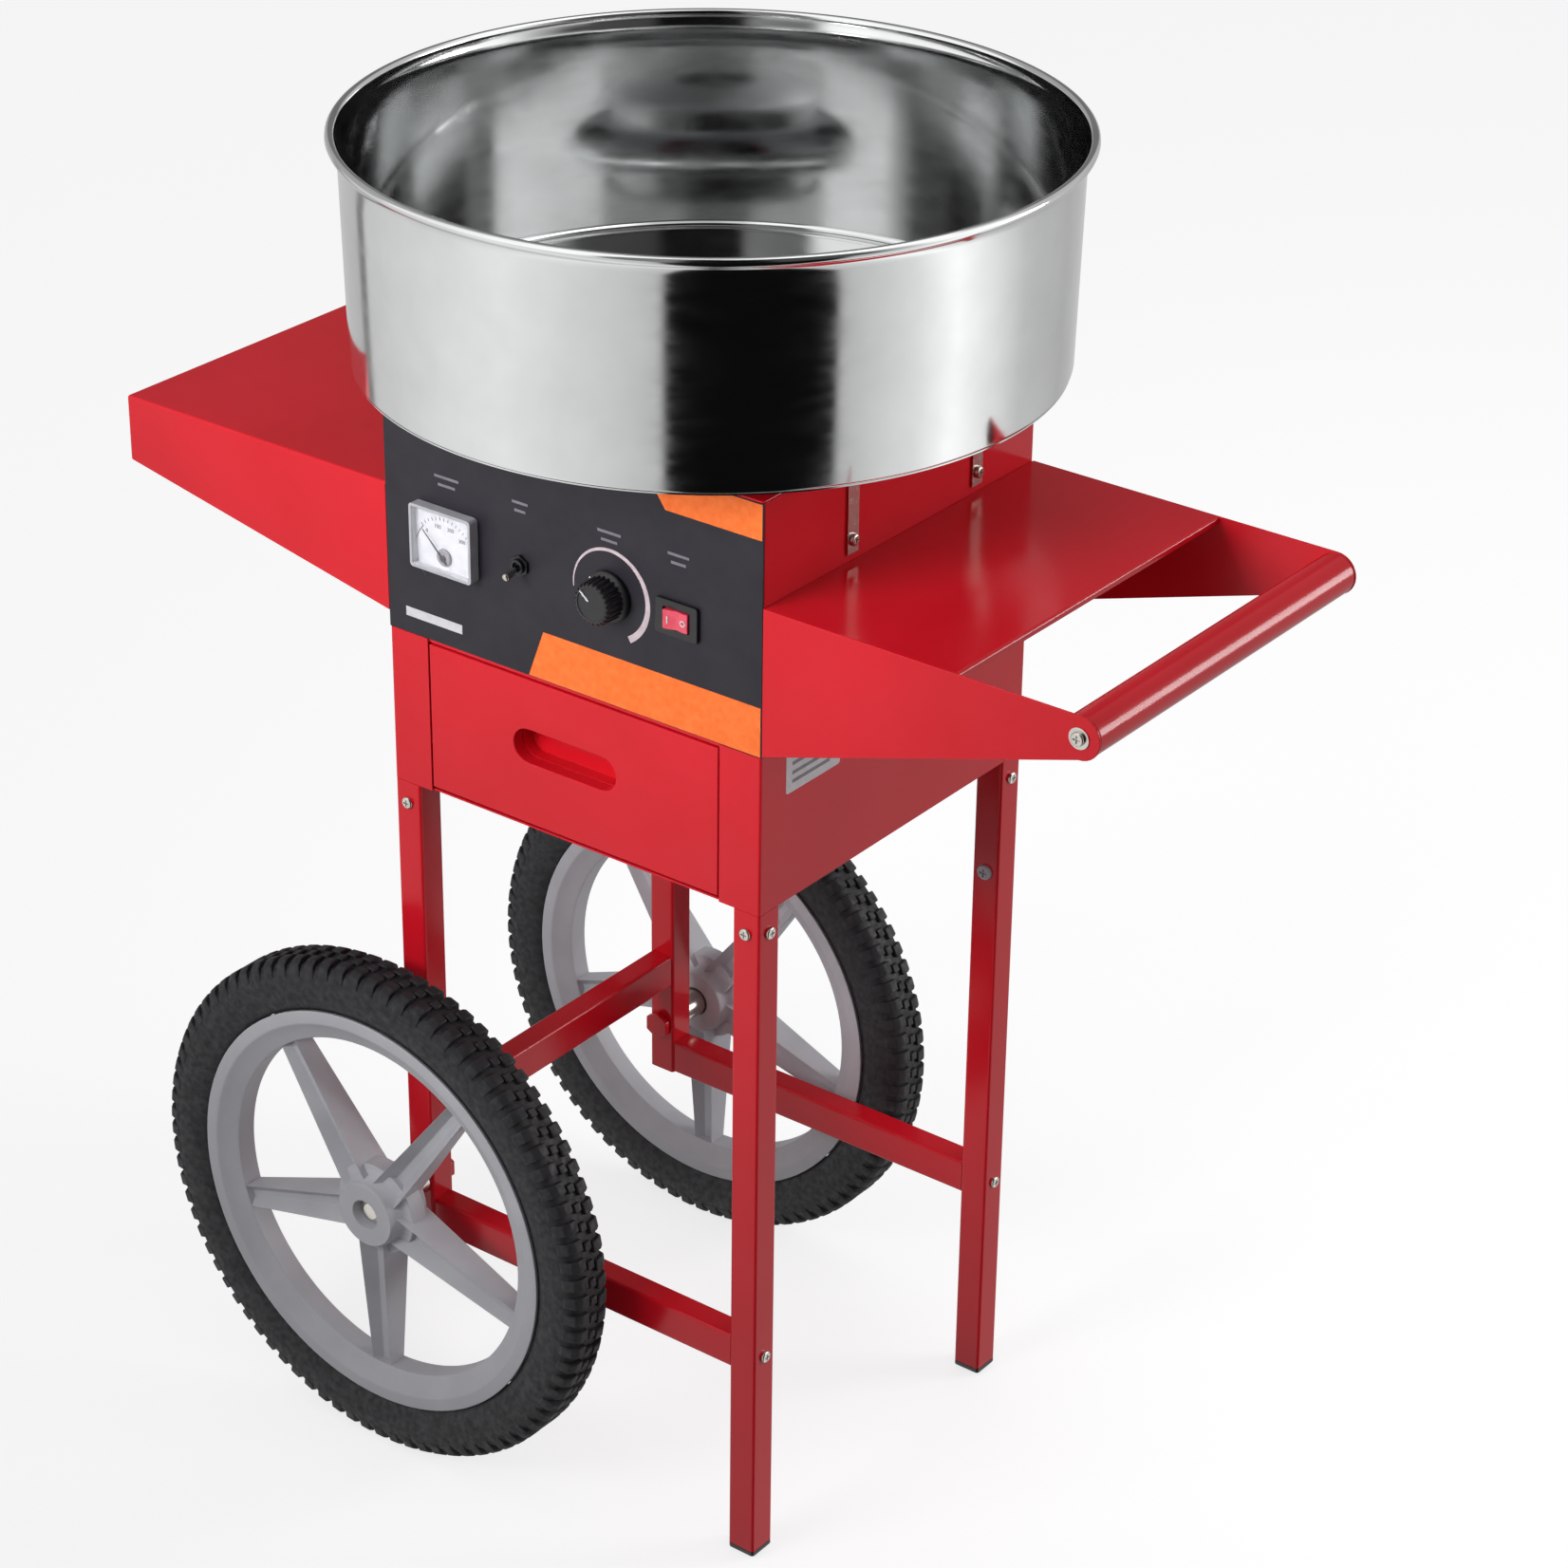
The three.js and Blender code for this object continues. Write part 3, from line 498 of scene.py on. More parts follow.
# Moulded black ABS of knob, switches, feet and gland: dark, low sheen, fine texture.
layered(BLACK, "black_plastic", (8, "#131315", "#1B1B1E"), (4, 0.3, 0.45), (0.4, 0.015, 0.5), IOR=1.54)

# Moulded white ABS of the voltmeter: cool white, satin.
layered(WHITE, "white_plastic", (8, "#A6A6AC", "#B2B2B8"), (4, 0.28, 0.4), (0.5, 0.01, 0.4), IOR=1.54)

# Clear acrylic of the voltmeter's window: polished, with the faintest ripple.
tree, shader, place = finish(
    "clear_acrylic", "clear_window", IOR=1.49, Transmission_Weight=1.0, Roughness=0.02, Base_Color=(1, 1, 1, 1)
)
embossed(tree, shader, grain(tree, place, 9 * MM), 0.01 * MM, 0.2)

# Tinted polycarbonate of the rocker: bright red with a pink glow where the light soaks in.
layered(
    "red_polycarbonate", "red_switch", (5, "#D8324C", "#E24A62"), (2, 0.12, 0.22), (0.8, 0.01, 0.4),
    IOR=1.58, Coat_Weight=0.5, Subsurface_Weight=0.3, Subsurface_Scale=0.003,
)

# Moulded black rubber of the bowl's seat ring: matte with a fine grain.
layered(
    "black_moulded_rubber", "black_rubber", (6, "#161618", "#202022"), (3, 0.6, 0.78), (0.5, 0.04, 0.5), IOR=1.5,
)

# Glass-fibre circuit board under green solder mask, with its weave just showing.
layered(
    "green_solder_mask", "board_green", (0.6, "#1B5434", "#24633E", BRUSHED), (2, 0.3, 0.42), (0.6, 0.01, 0.4),
    IOR=1.5,
)

# Pressed graphite of the brushes: soft black with a dull metallic sheen.
layered("pressed_graphite", "carbon", (2, "#242426", "#303033"), (1, 0.45, 0.6), (0.3, 0.02, 0.5), Metallic=0.4)

# Turned copper of the slip rings: bright, with fine tool rings and a darker track.
layered(
    "turned_copper", "copper", (4, "#A8683C", "#C07D4C", {"stretch": (0.1, 0.1, 1)}), (2, 0.22, 0.36),
    (0.5, 0.01, 0.6, {"stretch": (0.05, 0.05, 1)}), Metallic=1.0,
)

# Nickel-chrome ribbon of the heater: grey-brown from its oxide, with straw and blue heat tints.
layered(
    "oxidised_nichrome_ribbon", "heater_ribbon", (9, "#75695C", "#8E8B8C"), (2, 0.3, 0.5), (0.5, 0.02, 0.5, BRUSHED),
    Metallic=1.0,
)


def fit(obj, body, finish_name, *nodes):
    """Gives a finished piece its material and its body, and hides the CAD nodes that it stands for."""
    material, slot = FINISHES[finish_name]
    obj.data.materials.clear()
    obj.data.materials.append(material)
    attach(obj, body)
    if nodes:
        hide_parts(*nodes)
    return obj


# ---- Cabinet ----
FOLD = 2.2 * MM  # outside radius of a folded corner


def fold_sheet(obj):
    """In edit mode, rounds the folds of an open sheet; then gives it its thickness, grown inwards."""
    bpy.ops.mesh.select_mode(type="EDGE")
    bpy.ops.mesh.select_all(action="DESELECT")
    bpy.ops.mesh.select_non_manifold()
    bpy.ops.mesh.select_all(action="INVERT")
    bpy.ops.mesh.bevel(offset=FOLD, segments=4, affect="EDGES")
    leave()
    return thicken(obj)


def vent_cutter():
    """Rounded slots in rows, as one cutting tool."""
    half = Vector((24 * MM, 5 * MM, 2.5 * MM))
    middle = at(-70, 157, 715)
    tool = block("vents", middle - half, middle + half)
    edit(tool)
    choose("EDGE", lambda p, w: abs(w.y) > 0.9)
    bpy.ops.mesh.bevel(offset=2.4 * MM, segments=5, affect="EDGES")
    for column in (1, 2):
        choose("VERT", lambda p, n: p.x < at(-40, 0, 0).x)
        bpy.ops.mesh.duplicate()
        shift(X * 70 * MM * column)
    for row in range(1, 5):
        choose("VERT", lambda p, n: p.z < at(0, 0, 720).z)
        bpy.ops.mesh.duplicate()
        shift(Z * 18 * MM * row)
    leave()
    return tool


def cabinet():
    drawer_lo, drawer_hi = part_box("drawer_front")
    panel_lo, panel_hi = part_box("control_panel")
    slack = 1.2 * MM
    body = block("cabinet_body", CAB_LO, CAB_HI)
    edit(body)
    choose("FACE", lambda p, n: abs(n.z) > 0.9)
    bpy.ops.mesh.delete(type="FACE")
    fold_sheet(body)
    through = 9 * MM
    opening_lo = Vector((drawer_lo.x - slack, FRONT - through, CAB_LO.z - MM))
    opening = block("opening", opening_lo, Vector((drawer_hi.x + slack, FRONT + through, panel_lo.z)))
    gap = 0.3 * MM
    seat_lo = Vector((CAB_LO.x - MM, FRONT - MM, panel_lo.z - gap))
    seat = block("seat", seat_lo, Vector((CAB_HI.x + MM, panel_hi.y + gap, CAB_HI.z + MM)))
    gland = drum("gland_hole", 9 * MM, at(105, 150, 640), at(105, 165, 640), 48)
    carve(body, opening, seat, gland, vent_cutter())
    # returned flanges that carry the panel
    step = panel_hi.y + gap
    left, right, side, base = CAB_LO.x + MM, CAB_HI.x - MM, 13 * MM, panel_lo.z
    flanges = [
        block("flange", Vector((a, step, z0)), Vector((b, step + SHEET, z1)))
        for a, b, z0, z1 in (
            (left, left + side, base - 12 * MM, CAB_HI.z),
            (right - side, right, base - 12 * MM, CAB_HI.z),
            (left, right, base - 3 * MM, base + 9 * MM),
        )
    ]
    fit(soften(weld(body, *flanges), 0.3 * MM), "cart", RED, "cabinet_shell")

    lo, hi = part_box("top_plate")
    top = block("cabinet_top", lo, hi)
    round_edges(top, Z, FOLD)
    carve(top, drum("shaft_hole", 34 * MM, at(0, 0, 850), at(0, 0, 860), 96))
    fit(soften(top, 0.5 * MM), "cart", RED, "top_plate")

    profile = [(38, 0), (114, 0), (115, 0.3), (115, 1), (114.4, 1.3), (39, 1.3), (38, 0.6)]
    fit(soften(spun("top_liner", profile, Vector((MID_X, 0, hi.z + 0.1 * MM))), 0), "cart", ZINC)

    lo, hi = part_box("cabinet_floor")
    base = block("cabinet_base", lo, hi)
    round_edges(base, Z, 2 * MM, 3)
    fit(soften(base, 0.4 * MM), "cart", RED, "cabinet_floor")


def side_label():
    """A plain white label with grey bars on the cabinet's right side."""
    face = CAB_HI.x
    film = 0.15 * MM
    card = block("side_label", Vector((face, -0.129, 0.629)), Vector((face + film, -0.068, 0.665)))
    round_edges(card, X, 2.5 * MM)
    fit(soften(card, 0), "cart", "white_screen_ink")
    start, bar = -122 * MM, 2.6 * MM
    bars = [
        block("label_bars", Vector((face + film, start, z * MM)), Vector((face + 2 * film, end * MM, z * MM + bar)))
        for z, end in ((656, -84), (649, -76), (642, -90), (635.5, -80))
    ]
    fit(soften(weld(*bars), 0), "cart", "grey_screen_ink")


# ---- Control panel ----
FILM = 0.12 * MM  # thickness of a printed layer
METER_X, TOGGLE_X, KNOB_X, ROCKER_X = -108, -42, 36, 95  # middles of the controls, in millimetres
CONTROLS_Z = 750


def on_panel(x, z, proud=0.0):
    return at(x, FRONT / MM - proud, z)


def control_panel():
    lo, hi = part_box("control_panel")
    plate = block("panel_plate", lo, hi)
    holes = [
        drum("hole", r * MM, at(x, -170, CONTROLS_Z), at(x, -150, CONTROLS_Z), 48)
        for x, r in ((KNOB_X, 4.5), (TOGGLE_X, 6), (METER_X, 19))
    ]
    holes.append(block("hole", at(82, -170, 740.5), at(108, -150, 759.5)))
    carve(plate, *holes)
    fit(soften(plate, 0.3 * MM), "cart", "charcoal_panel_film", "control_panel")

    def printed(name, ink, outline):
        points = [on_panel(x, z) for x, z in outline]
        return fit(soften(slab(name, points, -Y * FILM), 0), "cart", ink)

    printed("panel_band_low", "orange_screen_ink", [(-36.5, 668.6), (164.2, 668.6), (164.2, 705), (-23, 705)])
    printed("panel_band_high", "orange_screen_ink", [(84, 826), (164.2, 826), (164.2, 851.6), (66, 851.6)])
    printed("panel_blank_bar", "white_screen_ink", [(-149, 681), (-97, 681), (-97, 688), (-149, 688)])
    # a wedge scale around the knob, thin at its start and wide at its end
    start, sweep, steps = math.radians(-95), math.radians(245), 44
    outer, inner = [], []
    for i in range(steps + 1):
        a = start + sweep * i / steps
        width = 0.8 + 4.2 * i / steps
        for ring, r in ((outer, 31 + width), (inner, 31)):
            ring.append((KNOB_X + r * math.sin(a), CONTROLS_Z + 1 + r * math.cos(a)))
    printed("knob_scale", "pale_screen_ink", outer + inner[::-1])
    marks = []
    for x, width in ((METER_X, 22), (TOGGLE_X, 14), (KNOB_X, 20), (ROCKER_X, 18)):
        for z, share in ((795, 1.0), (789, 0.7)):
            half = width * share / 2
            points = [on_panel(x + u, z + v) for u, v in ((-half, 0), (half, 0), (half, 2), (-half, 2))]
            marks.append(slab("panel_marks", points, -Y * FILM))
    fit(soften(weld(*marks), 0), "cart", "grey_screen_ink")


def voltmeter():
    lo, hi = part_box("voltmeter_body")
    back = FRONT - 0.3 * MM
    front = lo.y
    case = block("meter_case", lo, Vector((hi.x, back, hi.z)))
    edit(case)
    choose("EDGE", lambda p, w: abs(w.y) > 0.9)
    bpy.ops.mesh.bevel(offset=3 * MM, segments=4, affect="EDGES")
    choose("FACE", lambda p, n: n.y < -0.9)
    bpy.ops.mesh.inset(thickness=0.8 * MM)
    choose("FACE", lambda p, n: n.y < -0.9 and abs(p.x - (lo.x + hi.x) / 2) < 5 * MM and abs(p.z - 0.75) < 5 * MM)
    bpy.ops.mesh.inset(thickness=1.6 * MM)
    pull(Y * 6 * MM)
    leave()
    soften(case, 0.45 * MM, segments=3)
    barrel = drum("barrel", 18.5 * MM, at(METER_X, -158, CONTROLS_Z), at(METER_X, hi.y / MM, CONTROLS_Z), 48)
    fit(soften(weld(case, barrel), 0), "cart", WHITE, "voltmeter_body")

    floor_y = front + 6 * MM
    pivot = Vector(((lo.x + hi.x) / 2, floor_y, lo.z + 12 * MM))
    quarter = math.radians(45)
    scale = [arc("meter_scale", pivot, 26.4, 27.2, -quarter, 2 * quarter, FILM)]
    tick = block("tick", pivot + Vector((-0.25, -0.12, 27.2)) * MM, pivot + Vector((0.25, 0, 29.6)) * MM)
    ticks = 12
    edit(tick)
    bpy.ops.mesh.select_all(action="SELECT")
    bpy.ops.mesh.spin(steps=ticks // 2, angle=quarter, dupli=True, center=pivot, axis=Y)
    choose("VERT", lambda p, n: abs(p.x - pivot.x) < 0.5 * MM)
    bpy.ops.mesh.spin(steps=ticks // 2, angle=-quarter, dupli=True, center=pivot, axis=Y)
    leave()
    scale.append(outwards(tick))
    for number, angle in (("0", -45), ("100", -15), ("200", 15), ("300", 45)):
        a = math.radians(angle)
        bpy.ops.object.select_all(action="DESELECT")
        bpy.ops.object.text_add(
            location=pivot + Vector((math.sin(a) * 22.5 * MM, -0.1 * MM, math.cos(a) * 22.5 * MM - 1.2 * MM)),
            rotation=(math.pi / 2, 0, 0),
        )
        text = bpy.context.active_object
        text.data.body = number
        text.data.size = 4.2 * MM
        text.data.align_x = "CENTER"
        text.data.extrude = 0.05 * MM
        bpy.ops.object.convert(target="MESH")
        scale.append(settle("number"))
    fit(soften(weld(*scale), 0), "cart", "dark_screen_ink").name = "meter_scale"

    boss = spun("meter_boss", [(0, 0), (6.4, 0), (6.4, 1.4), (5.8, 2), (0, 2)], pivot, axis=-Y, steps=48, closed=False)
    fit(soften(boss, 0), "cart", "grey_screen_ink")

    lo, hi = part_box("voltmeter_window")
    window = block("meter_window", lo, hi)
    round_edges(window, Y, 1.5 * MM)
    window.visible_shadow = False
    fit(soften(window, 0.3 * MM), "cart", "clear_acrylic", "voltmeter_window")

    # a tapered pointer on a round hub, resting at the left end of the scale
    a = -quarter
    along = Vector((math.sin(a), 0, math.cos(a)))
    across = Vector((math.cos(a), 0, -math.sin(a)))
    base = pivot - Y * 2.6 * MM
    points = [base + along * u * MM + across * v * MM for u, v in ((-5, -0.7), (25, -0.25), (25, 0.25), (-5, 0.7))]
    pointer = slab("meter_needle", points, -Y * 0.5 * MM)
    hub = spun("hub", [(0, 2.2), (2.6, 2.2), (2.6, 2.9), (2.2, 3.2), (0, 3.2)], pivot, axis=-Y, steps=32, closed=False)
    fit(soften(weld(pointer, hub), 0), "needle", BLACK, "voltmeter_needle")


def toggle_switch():
    centre = at(TOGGLE_X, FRONT / MM, CONTROLS_Z)
    nut = drum("toggle_bushing_nut", 8 * MM, centre - Y * 0.3 * MM, centre - Y * 2.6 * MM, 6)
    soften(nut, 0.4 * MM)
    thread = []
    for i in range(8):
        thread += [(5.1, i * 0.6 - 0.2), (5.5, i * 0.6 + 0.1)]
    thread = [(3.6, -24), (5.5, -24), (5.5, -2)] + thread + [(5.2, 5), (3.6, 5)]
    bush = spun("toggle_bush", thread, centre, axis=-Y, steps=48)
    fit(soften(weld(nut, bush), 0), "cart", BLACK, "toggle_bushing")
    tilt = math.radians(14)
    way = Vector((0, -math.cos(tilt), -math.sin(tilt)))
    profile = [(0, -1), (1.7, -0.6), (1.7, 0), (1.9, 5), (2.9, 13), (3.1, 14.6), (2.8, 16.2), (1.9, 17), (0, 17.2)]
    lever = spun("toggle_bat", profile, centre - Y * MM, axis=way, steps=32, closed=False)
    fit(soften(lever, 0), "toggle", NICKEL, "toggle_lever")


def regulator_knob():
    lo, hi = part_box("regulator_knob")
    centre = Vector((MID_X + KNOB_X * MM, hi.y, CONTROLS_Z * MM))
    profile = [
        (0, 4), (3.2, 4), (3.2, 0), (17.6, 0), (18.5, 0.8), (18.5, 2.6), (17.6, 3.6), (16.2, 4.2), (16, 5), (15.6, 16),
        (15, 17.6), (13.8, 18.6), (12, 18.9), (11.4, 18.4), (0, 18.4),
    ]
    knob = spun("knob_body", profile, centre, axis=-Y, steps=144, closed=False)
    flutes = 24

    def in_flute(p, n):
        depth = centre.y - p.y
        reach = math.hypot(p.x - centre.x, p.z - centre.z)
        angle = math.atan2(p.x - centre.x, p.z - centre.z)
        return 4.6 * MM < depth < 18.7 * MM and reach > 13 * MM and math.cos(flutes * angle) < -0.4

    edit(knob)
    choose("VERT", in_flute)
    bpy.ops.transform.resize(value=(0.94, 1, 0.94), center_override=centre)
    leave()
    fit(soften(knob, 0), "knob", BLACK, "regulator_knob")
    a = math.radians(-50)
    along = Vector((math.sin(a), 0, math.cos(a)))
    across = Vector((math.cos(a), 0, -math.sin(a)))
    base = centre - Y * 18.3 * MM
    points = [base + along * u * MM + across * v * MM for u, v in ((3, -0.7), (12.6, -0.7), (12.6, 0.7), (3, 0.7))]
    line = slab("knob_line", points, -Y * 0.8 * MM)
    dot_base = centre - Y * 3.3 * MM + along * 17.2 * MM
    dot = drum("dot", 0.9 * MM, dot_base, dot_base - Y * 0.5 * MM, 24)
    fit(soften(weld(line, dot), 0.15 * MM), "knob", "white_screen_ink")


def rocker_switch():
    lo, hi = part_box("rocker_frame")
    bezel = block("rocker_bezel", lo, Vector((hi.x, FRONT - 0.3 * MM, hi.z)))
    round_edges(bezel, Y, 2.2 * MM)
    carve(bezel, block("well", at(84, -175, 742.5), at(106, -150, 757.5)))
    soften(bezel, 0.8 * MM, segments=3)
    body = block("switch_body", at(82.5, -157, 741), at(107.5, -135, 759))
    carve(body, block("well", at(84, -175, 742.5), at(106, -147, 757.5)))
    fit(soften(weld(bezel, body), 0), "cart", BLACK, "rocker_frame")
    # the button tips about a vertical axis; its face is a shallow V with the left half out
    pivot = at(ROCKER_X, FRONT / MM + 4, 743)
    face = -9.5
    tip = math.radians(6)
    tipped = Matrix.Rotation(tip, 3, "Z")
    outline = [(-9.6, 2), (-9.8, face), (-5, face + 0.5), (0, face + 1.8), (5, face + 0.5), (9.8, face), (9.6, 2)]
    points = [pivot + tipped @ Vector((x, y, 0)) * MM for x, y in outline]
    button = slab("rocker_button_red", points, Z * 14 * MM)
    fit(soften(button, 0.6 * MM, segments=3), "rocker", "red_polycarbonate", "rocker_button")
    # the on bar and the off ring, printed on the two halves
    way, out = tipped @ X, tipped @ -Y
    left = pivot + way * -6 * MM + out * 9.35 * MM + Z * 7 * MM
    half = Vector((0.5, 0.25, 2.6)) * MM
    bar = block("rocker_marks", left - half, left + half)
    right = pivot + way * 6 * MM + out * 9.2 * MM + Z * 7 * MM
    ring = spun("ring", [(1.5, -0.3), (2.3, -0.3), (2.3, 0.3), (1.5, 0.3)], right, axis=-Y, steps=32)
    fit(soften(weld(bar, ring), 0), "rocker", "white_screen_ink")


# ---- Drawer ----
def slot_outline(middle, half_length, radius, steps=10):
    """A rounded slot's outline, seen from the front."""
    points = []
    for side in (1, -1):
        for i in range(steps + 1):
            a = side * math.pi * (0.5 - i / steps)
            reach = half_length - radius + math.cos(a) * radius
            points.append(middle + Vector((side * reach, 0, math.sin(a) * radius)))
    return points


def drawer():
    lo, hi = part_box("drawer_front")
    pull_middle = at(-6, lo.y / MM, 612)
    face = block("drawer_face", lo, hi)
    hole = slab("slot", slot_outline(pull_middle - Y * 5 * MM, 46 * MM, 13 * MM), Y * 30 * MM)
    carve(face, hole)
    fit(soften(face, 0.9 * MM, segments=3), "drawer", RED, "drawer_front")

    cup_lo, cup_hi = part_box("drawer_pull")
    start = Vector((pull_middle.x, cup_lo.y, pull_middle.z))
    cup = slab("pull_cup", slot_outline(start, 50 * MM, 17 * MM), Y * (cup_hi.y - cup_lo.y))
    depth = cup_hi.y - cup_lo.y - SHEET
    room = slab("room", slot_outline(start - Y * 5 * MM, 45.7 * MM, 12.7 * MM), Y * (depth + 5 * MM))
    carve(cup, room)
    fit(soften(cup, 0.5 * MM), "drawer", RED, "drawer_pull")


# ---- Shelf, tray and handle ----
def left_shelf():
    lo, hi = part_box("left_shelf")
    shelf = block("shelf_left_sheet", lo, hi)
    edit(shelf)
    choose("FACE", lambda p, n: n.z < -0.9 or n.x > 0.9)
    bpy.ops.mesh.delete(type="FACE")
    # the skirt is deeper at the cabinet than at the outer end
    choose("VERT", lambda p, n: p.z < lo.z + MM and p.x < lo.x + MM)
    shift(Z * 48 * MM)
    fold_sheet(shelf)
    fit(soften(shelf, 0.3 * MM), "cart", RED, "left_shelf")


def right_tray():
    lo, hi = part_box("right_tray")
    bar_lo, bar_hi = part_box("handle_bar")
    bar = (bar_lo + bar_hi) / 2
    nose = hi.x - bar.x
    outline = [Vector((lo.x, lo.y, hi.z)), Vector((lo.x, lo.y, lo.z)), Vector((bar.x, lo.y, bar.z - nose))]
    steps = 16
    for i in range(1, steps + 1):
        a = -math.pi / 2 + math.pi * i / steps
        outline.append(Vector((bar.x + math.cos(a) * nose, lo.y, bar.z + math.sin(a) * nose)))
    arm = slab("tray_sheet", outline, Y * SHEET)
    soften(arm, 0.55 * MM, segments=3)
    other = twin(arm, "arm", Y * (hi.y - lo.y - SHEET))
    plate_end = at(320, 0, 0).x
    tuck = 0.7 * SHEET  # how far the plate stays inside the arms
    plate = block("plate", Vector((lo.x, lo.y + tuck, hi.z - 5 * MM)), Vector((plate_end, hi.y - tuck, hi.z)))
    edit(plate)
    choose("FACE", lambda p, n: n.z < -0.9 or n.x < -0.9 or abs(n.y) > 0.9)
    bpy.ops.mesh.delete(type="FACE")
    choose("EDGE", lambda p, w: abs(w.y) > 0.9 and p.x > plate_end - MM and p.z > hi.z - MM)
    bpy.ops.mesh.bevel(offset=FOLD, segments=4, affect="EDGES")
    leave()
    thicken(plate)
    soften(plate, 0.3 * MM)
    fit(soften(weld(arm, other, plate), 0), "cart", RED, "right_tray")

    ends = (Vector((bar.x, y, bar.z)) for y in (bar_lo.y, bar_hi.y))
    tube = drum("handle_tube", (bar_hi.z - bar_lo.z) / 2, *ends, 72)
    tube.visible_glossy = False
    fit(soften(tube, 1.2 * MM, segments=3), "cart", RED, "handle_bar")
    for place, s in ENDS:
        spot = Vector((bar.x, s * hi.y, bar.z))
        washer = drum("handle_screw_" + place, 7.5 * MM, spot, spot + Y * s * 0.8 * MM, 40)
        head = screws("head", 5 * MM, 2.6 * MM, Y * s, [spot + Y * s * 0.8 * MM])
        fit(soften(weld(washer, head), 0), "cart", NICKEL)


# ---- Legs and rails ----
TUBE_CORNER = 2.4 * MM  # outside radius of the square tubes' corners
LEG_X, LEG_Y = 153.5, 145.5  # middles of the legs, in millimetres from the cabinet's middle
RAIL_SCREW_Z, TOP_SCREW_Z = 178, 530


def square_tube(name, along, cad, *holes):
    """A welded square tube along one axis with rounded corners and open ends."""
    lo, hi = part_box(cad)
    obj = block(name, lo, hi)
    edit(obj)
    choose("FACE", lambda p, n: abs(n.dot(along)) > 0.9)
    bpy.ops.mesh.delete(type="FACE")
    leave()
    round_edges(obj, along, TUBE_CORNER)
    carve(thicken(obj), *holes)
    return fit(soften(obj, 0.25 * MM), "cart", RED, cad)


def legs():
    for place, s in ENDS:
        axle_lo, axle_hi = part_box("stub_axle_" + place)
        axle = (axle_lo + axle_hi) / 2
        leg = Vector((axle.x, s * LEG_Y * MM, axle.z))
        hole = drum("hole", 7.2 * MM, leg - Y * 20 * MM, leg + Y * 20 * MM, 48)
        square_tube("leg_tube_left_" + place, Z, "leg_%s_left" % place, hole)
        square_tube("leg_tube_right_" + place, Z, "leg_%s_right" % place)
        square_tube("low_rail_" + place, X, "lower_rail_" + place)
        lo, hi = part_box("foot_" + place)
        plate = block("foot_glide_" + place, Vector((lo.x, lo.y, 0.003)), Vector((hi.x, hi.y, 0.0067)))
        round_edges(plate, Z, 2.4 * MM, 3)
        ground = Vector(((lo.x + hi.x) / 2, (lo.y + hi.y) / 2, 0))
        plug = block("plug", ground + Vector((-9.7, -9.7, 5)) * MM, ground + Vector((9.7, 9.7, 26)) * MM)
        profile = [(0, 0), (6.4, 0), (7.4, 0.4), (8, 1.4), (8, 4), (0, 4)]
        glide = spun("glide", profile, ground, steps=48, closed=False)
        foot = weld(soften(plate, 0.6 * MM), soften(plug, 0.8 * MM), glide)
        fit(soften(foot, 0), "cart", BLACK, "foot_" + place)
    square_tube("cross_rail", Y, "cross_tube")


def leg_screws():
    """Screws that hold the rails and the cabinet on the legs."""
    left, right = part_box("leg_front_left")[0].x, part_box("leg_front_right")[1].x
    front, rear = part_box("leg_front_right")[0].y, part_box("leg_rear_right")[1].y
    for name, x, way in (("leg_side_screws", right, X), ("leg_outer_screws", left, -X)):
        places = [Vector((x, s * LEG_Y * MM, z * MM)) for s in (-1, 1) for z in (RAIL_SCREW_Z, TOP_SCREW_Z)]
        fit(screws(name, 4.6 * MM, 2.6 * MM, way, places), "cart", NICKEL)
    for name, y, way in (("leg_front_screws", front, -Y), ("leg_rear_screws", rear, Y)):
        places = [at(x, y / MM, TOP_SCREW_Z) for x in (-LEG_X, LEG_X)]
        fit(screws(name, 4.6 * MM, 2.6 * MM, way, places), "cart", NICKEL)
    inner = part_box("leg_rear_right")[0].y
    fit(screws("leg_inner_cap", 6 * MM, 3 * MM, -Y, [at(LEG_X, inner / MM, 452)]), "cart", WHITE)


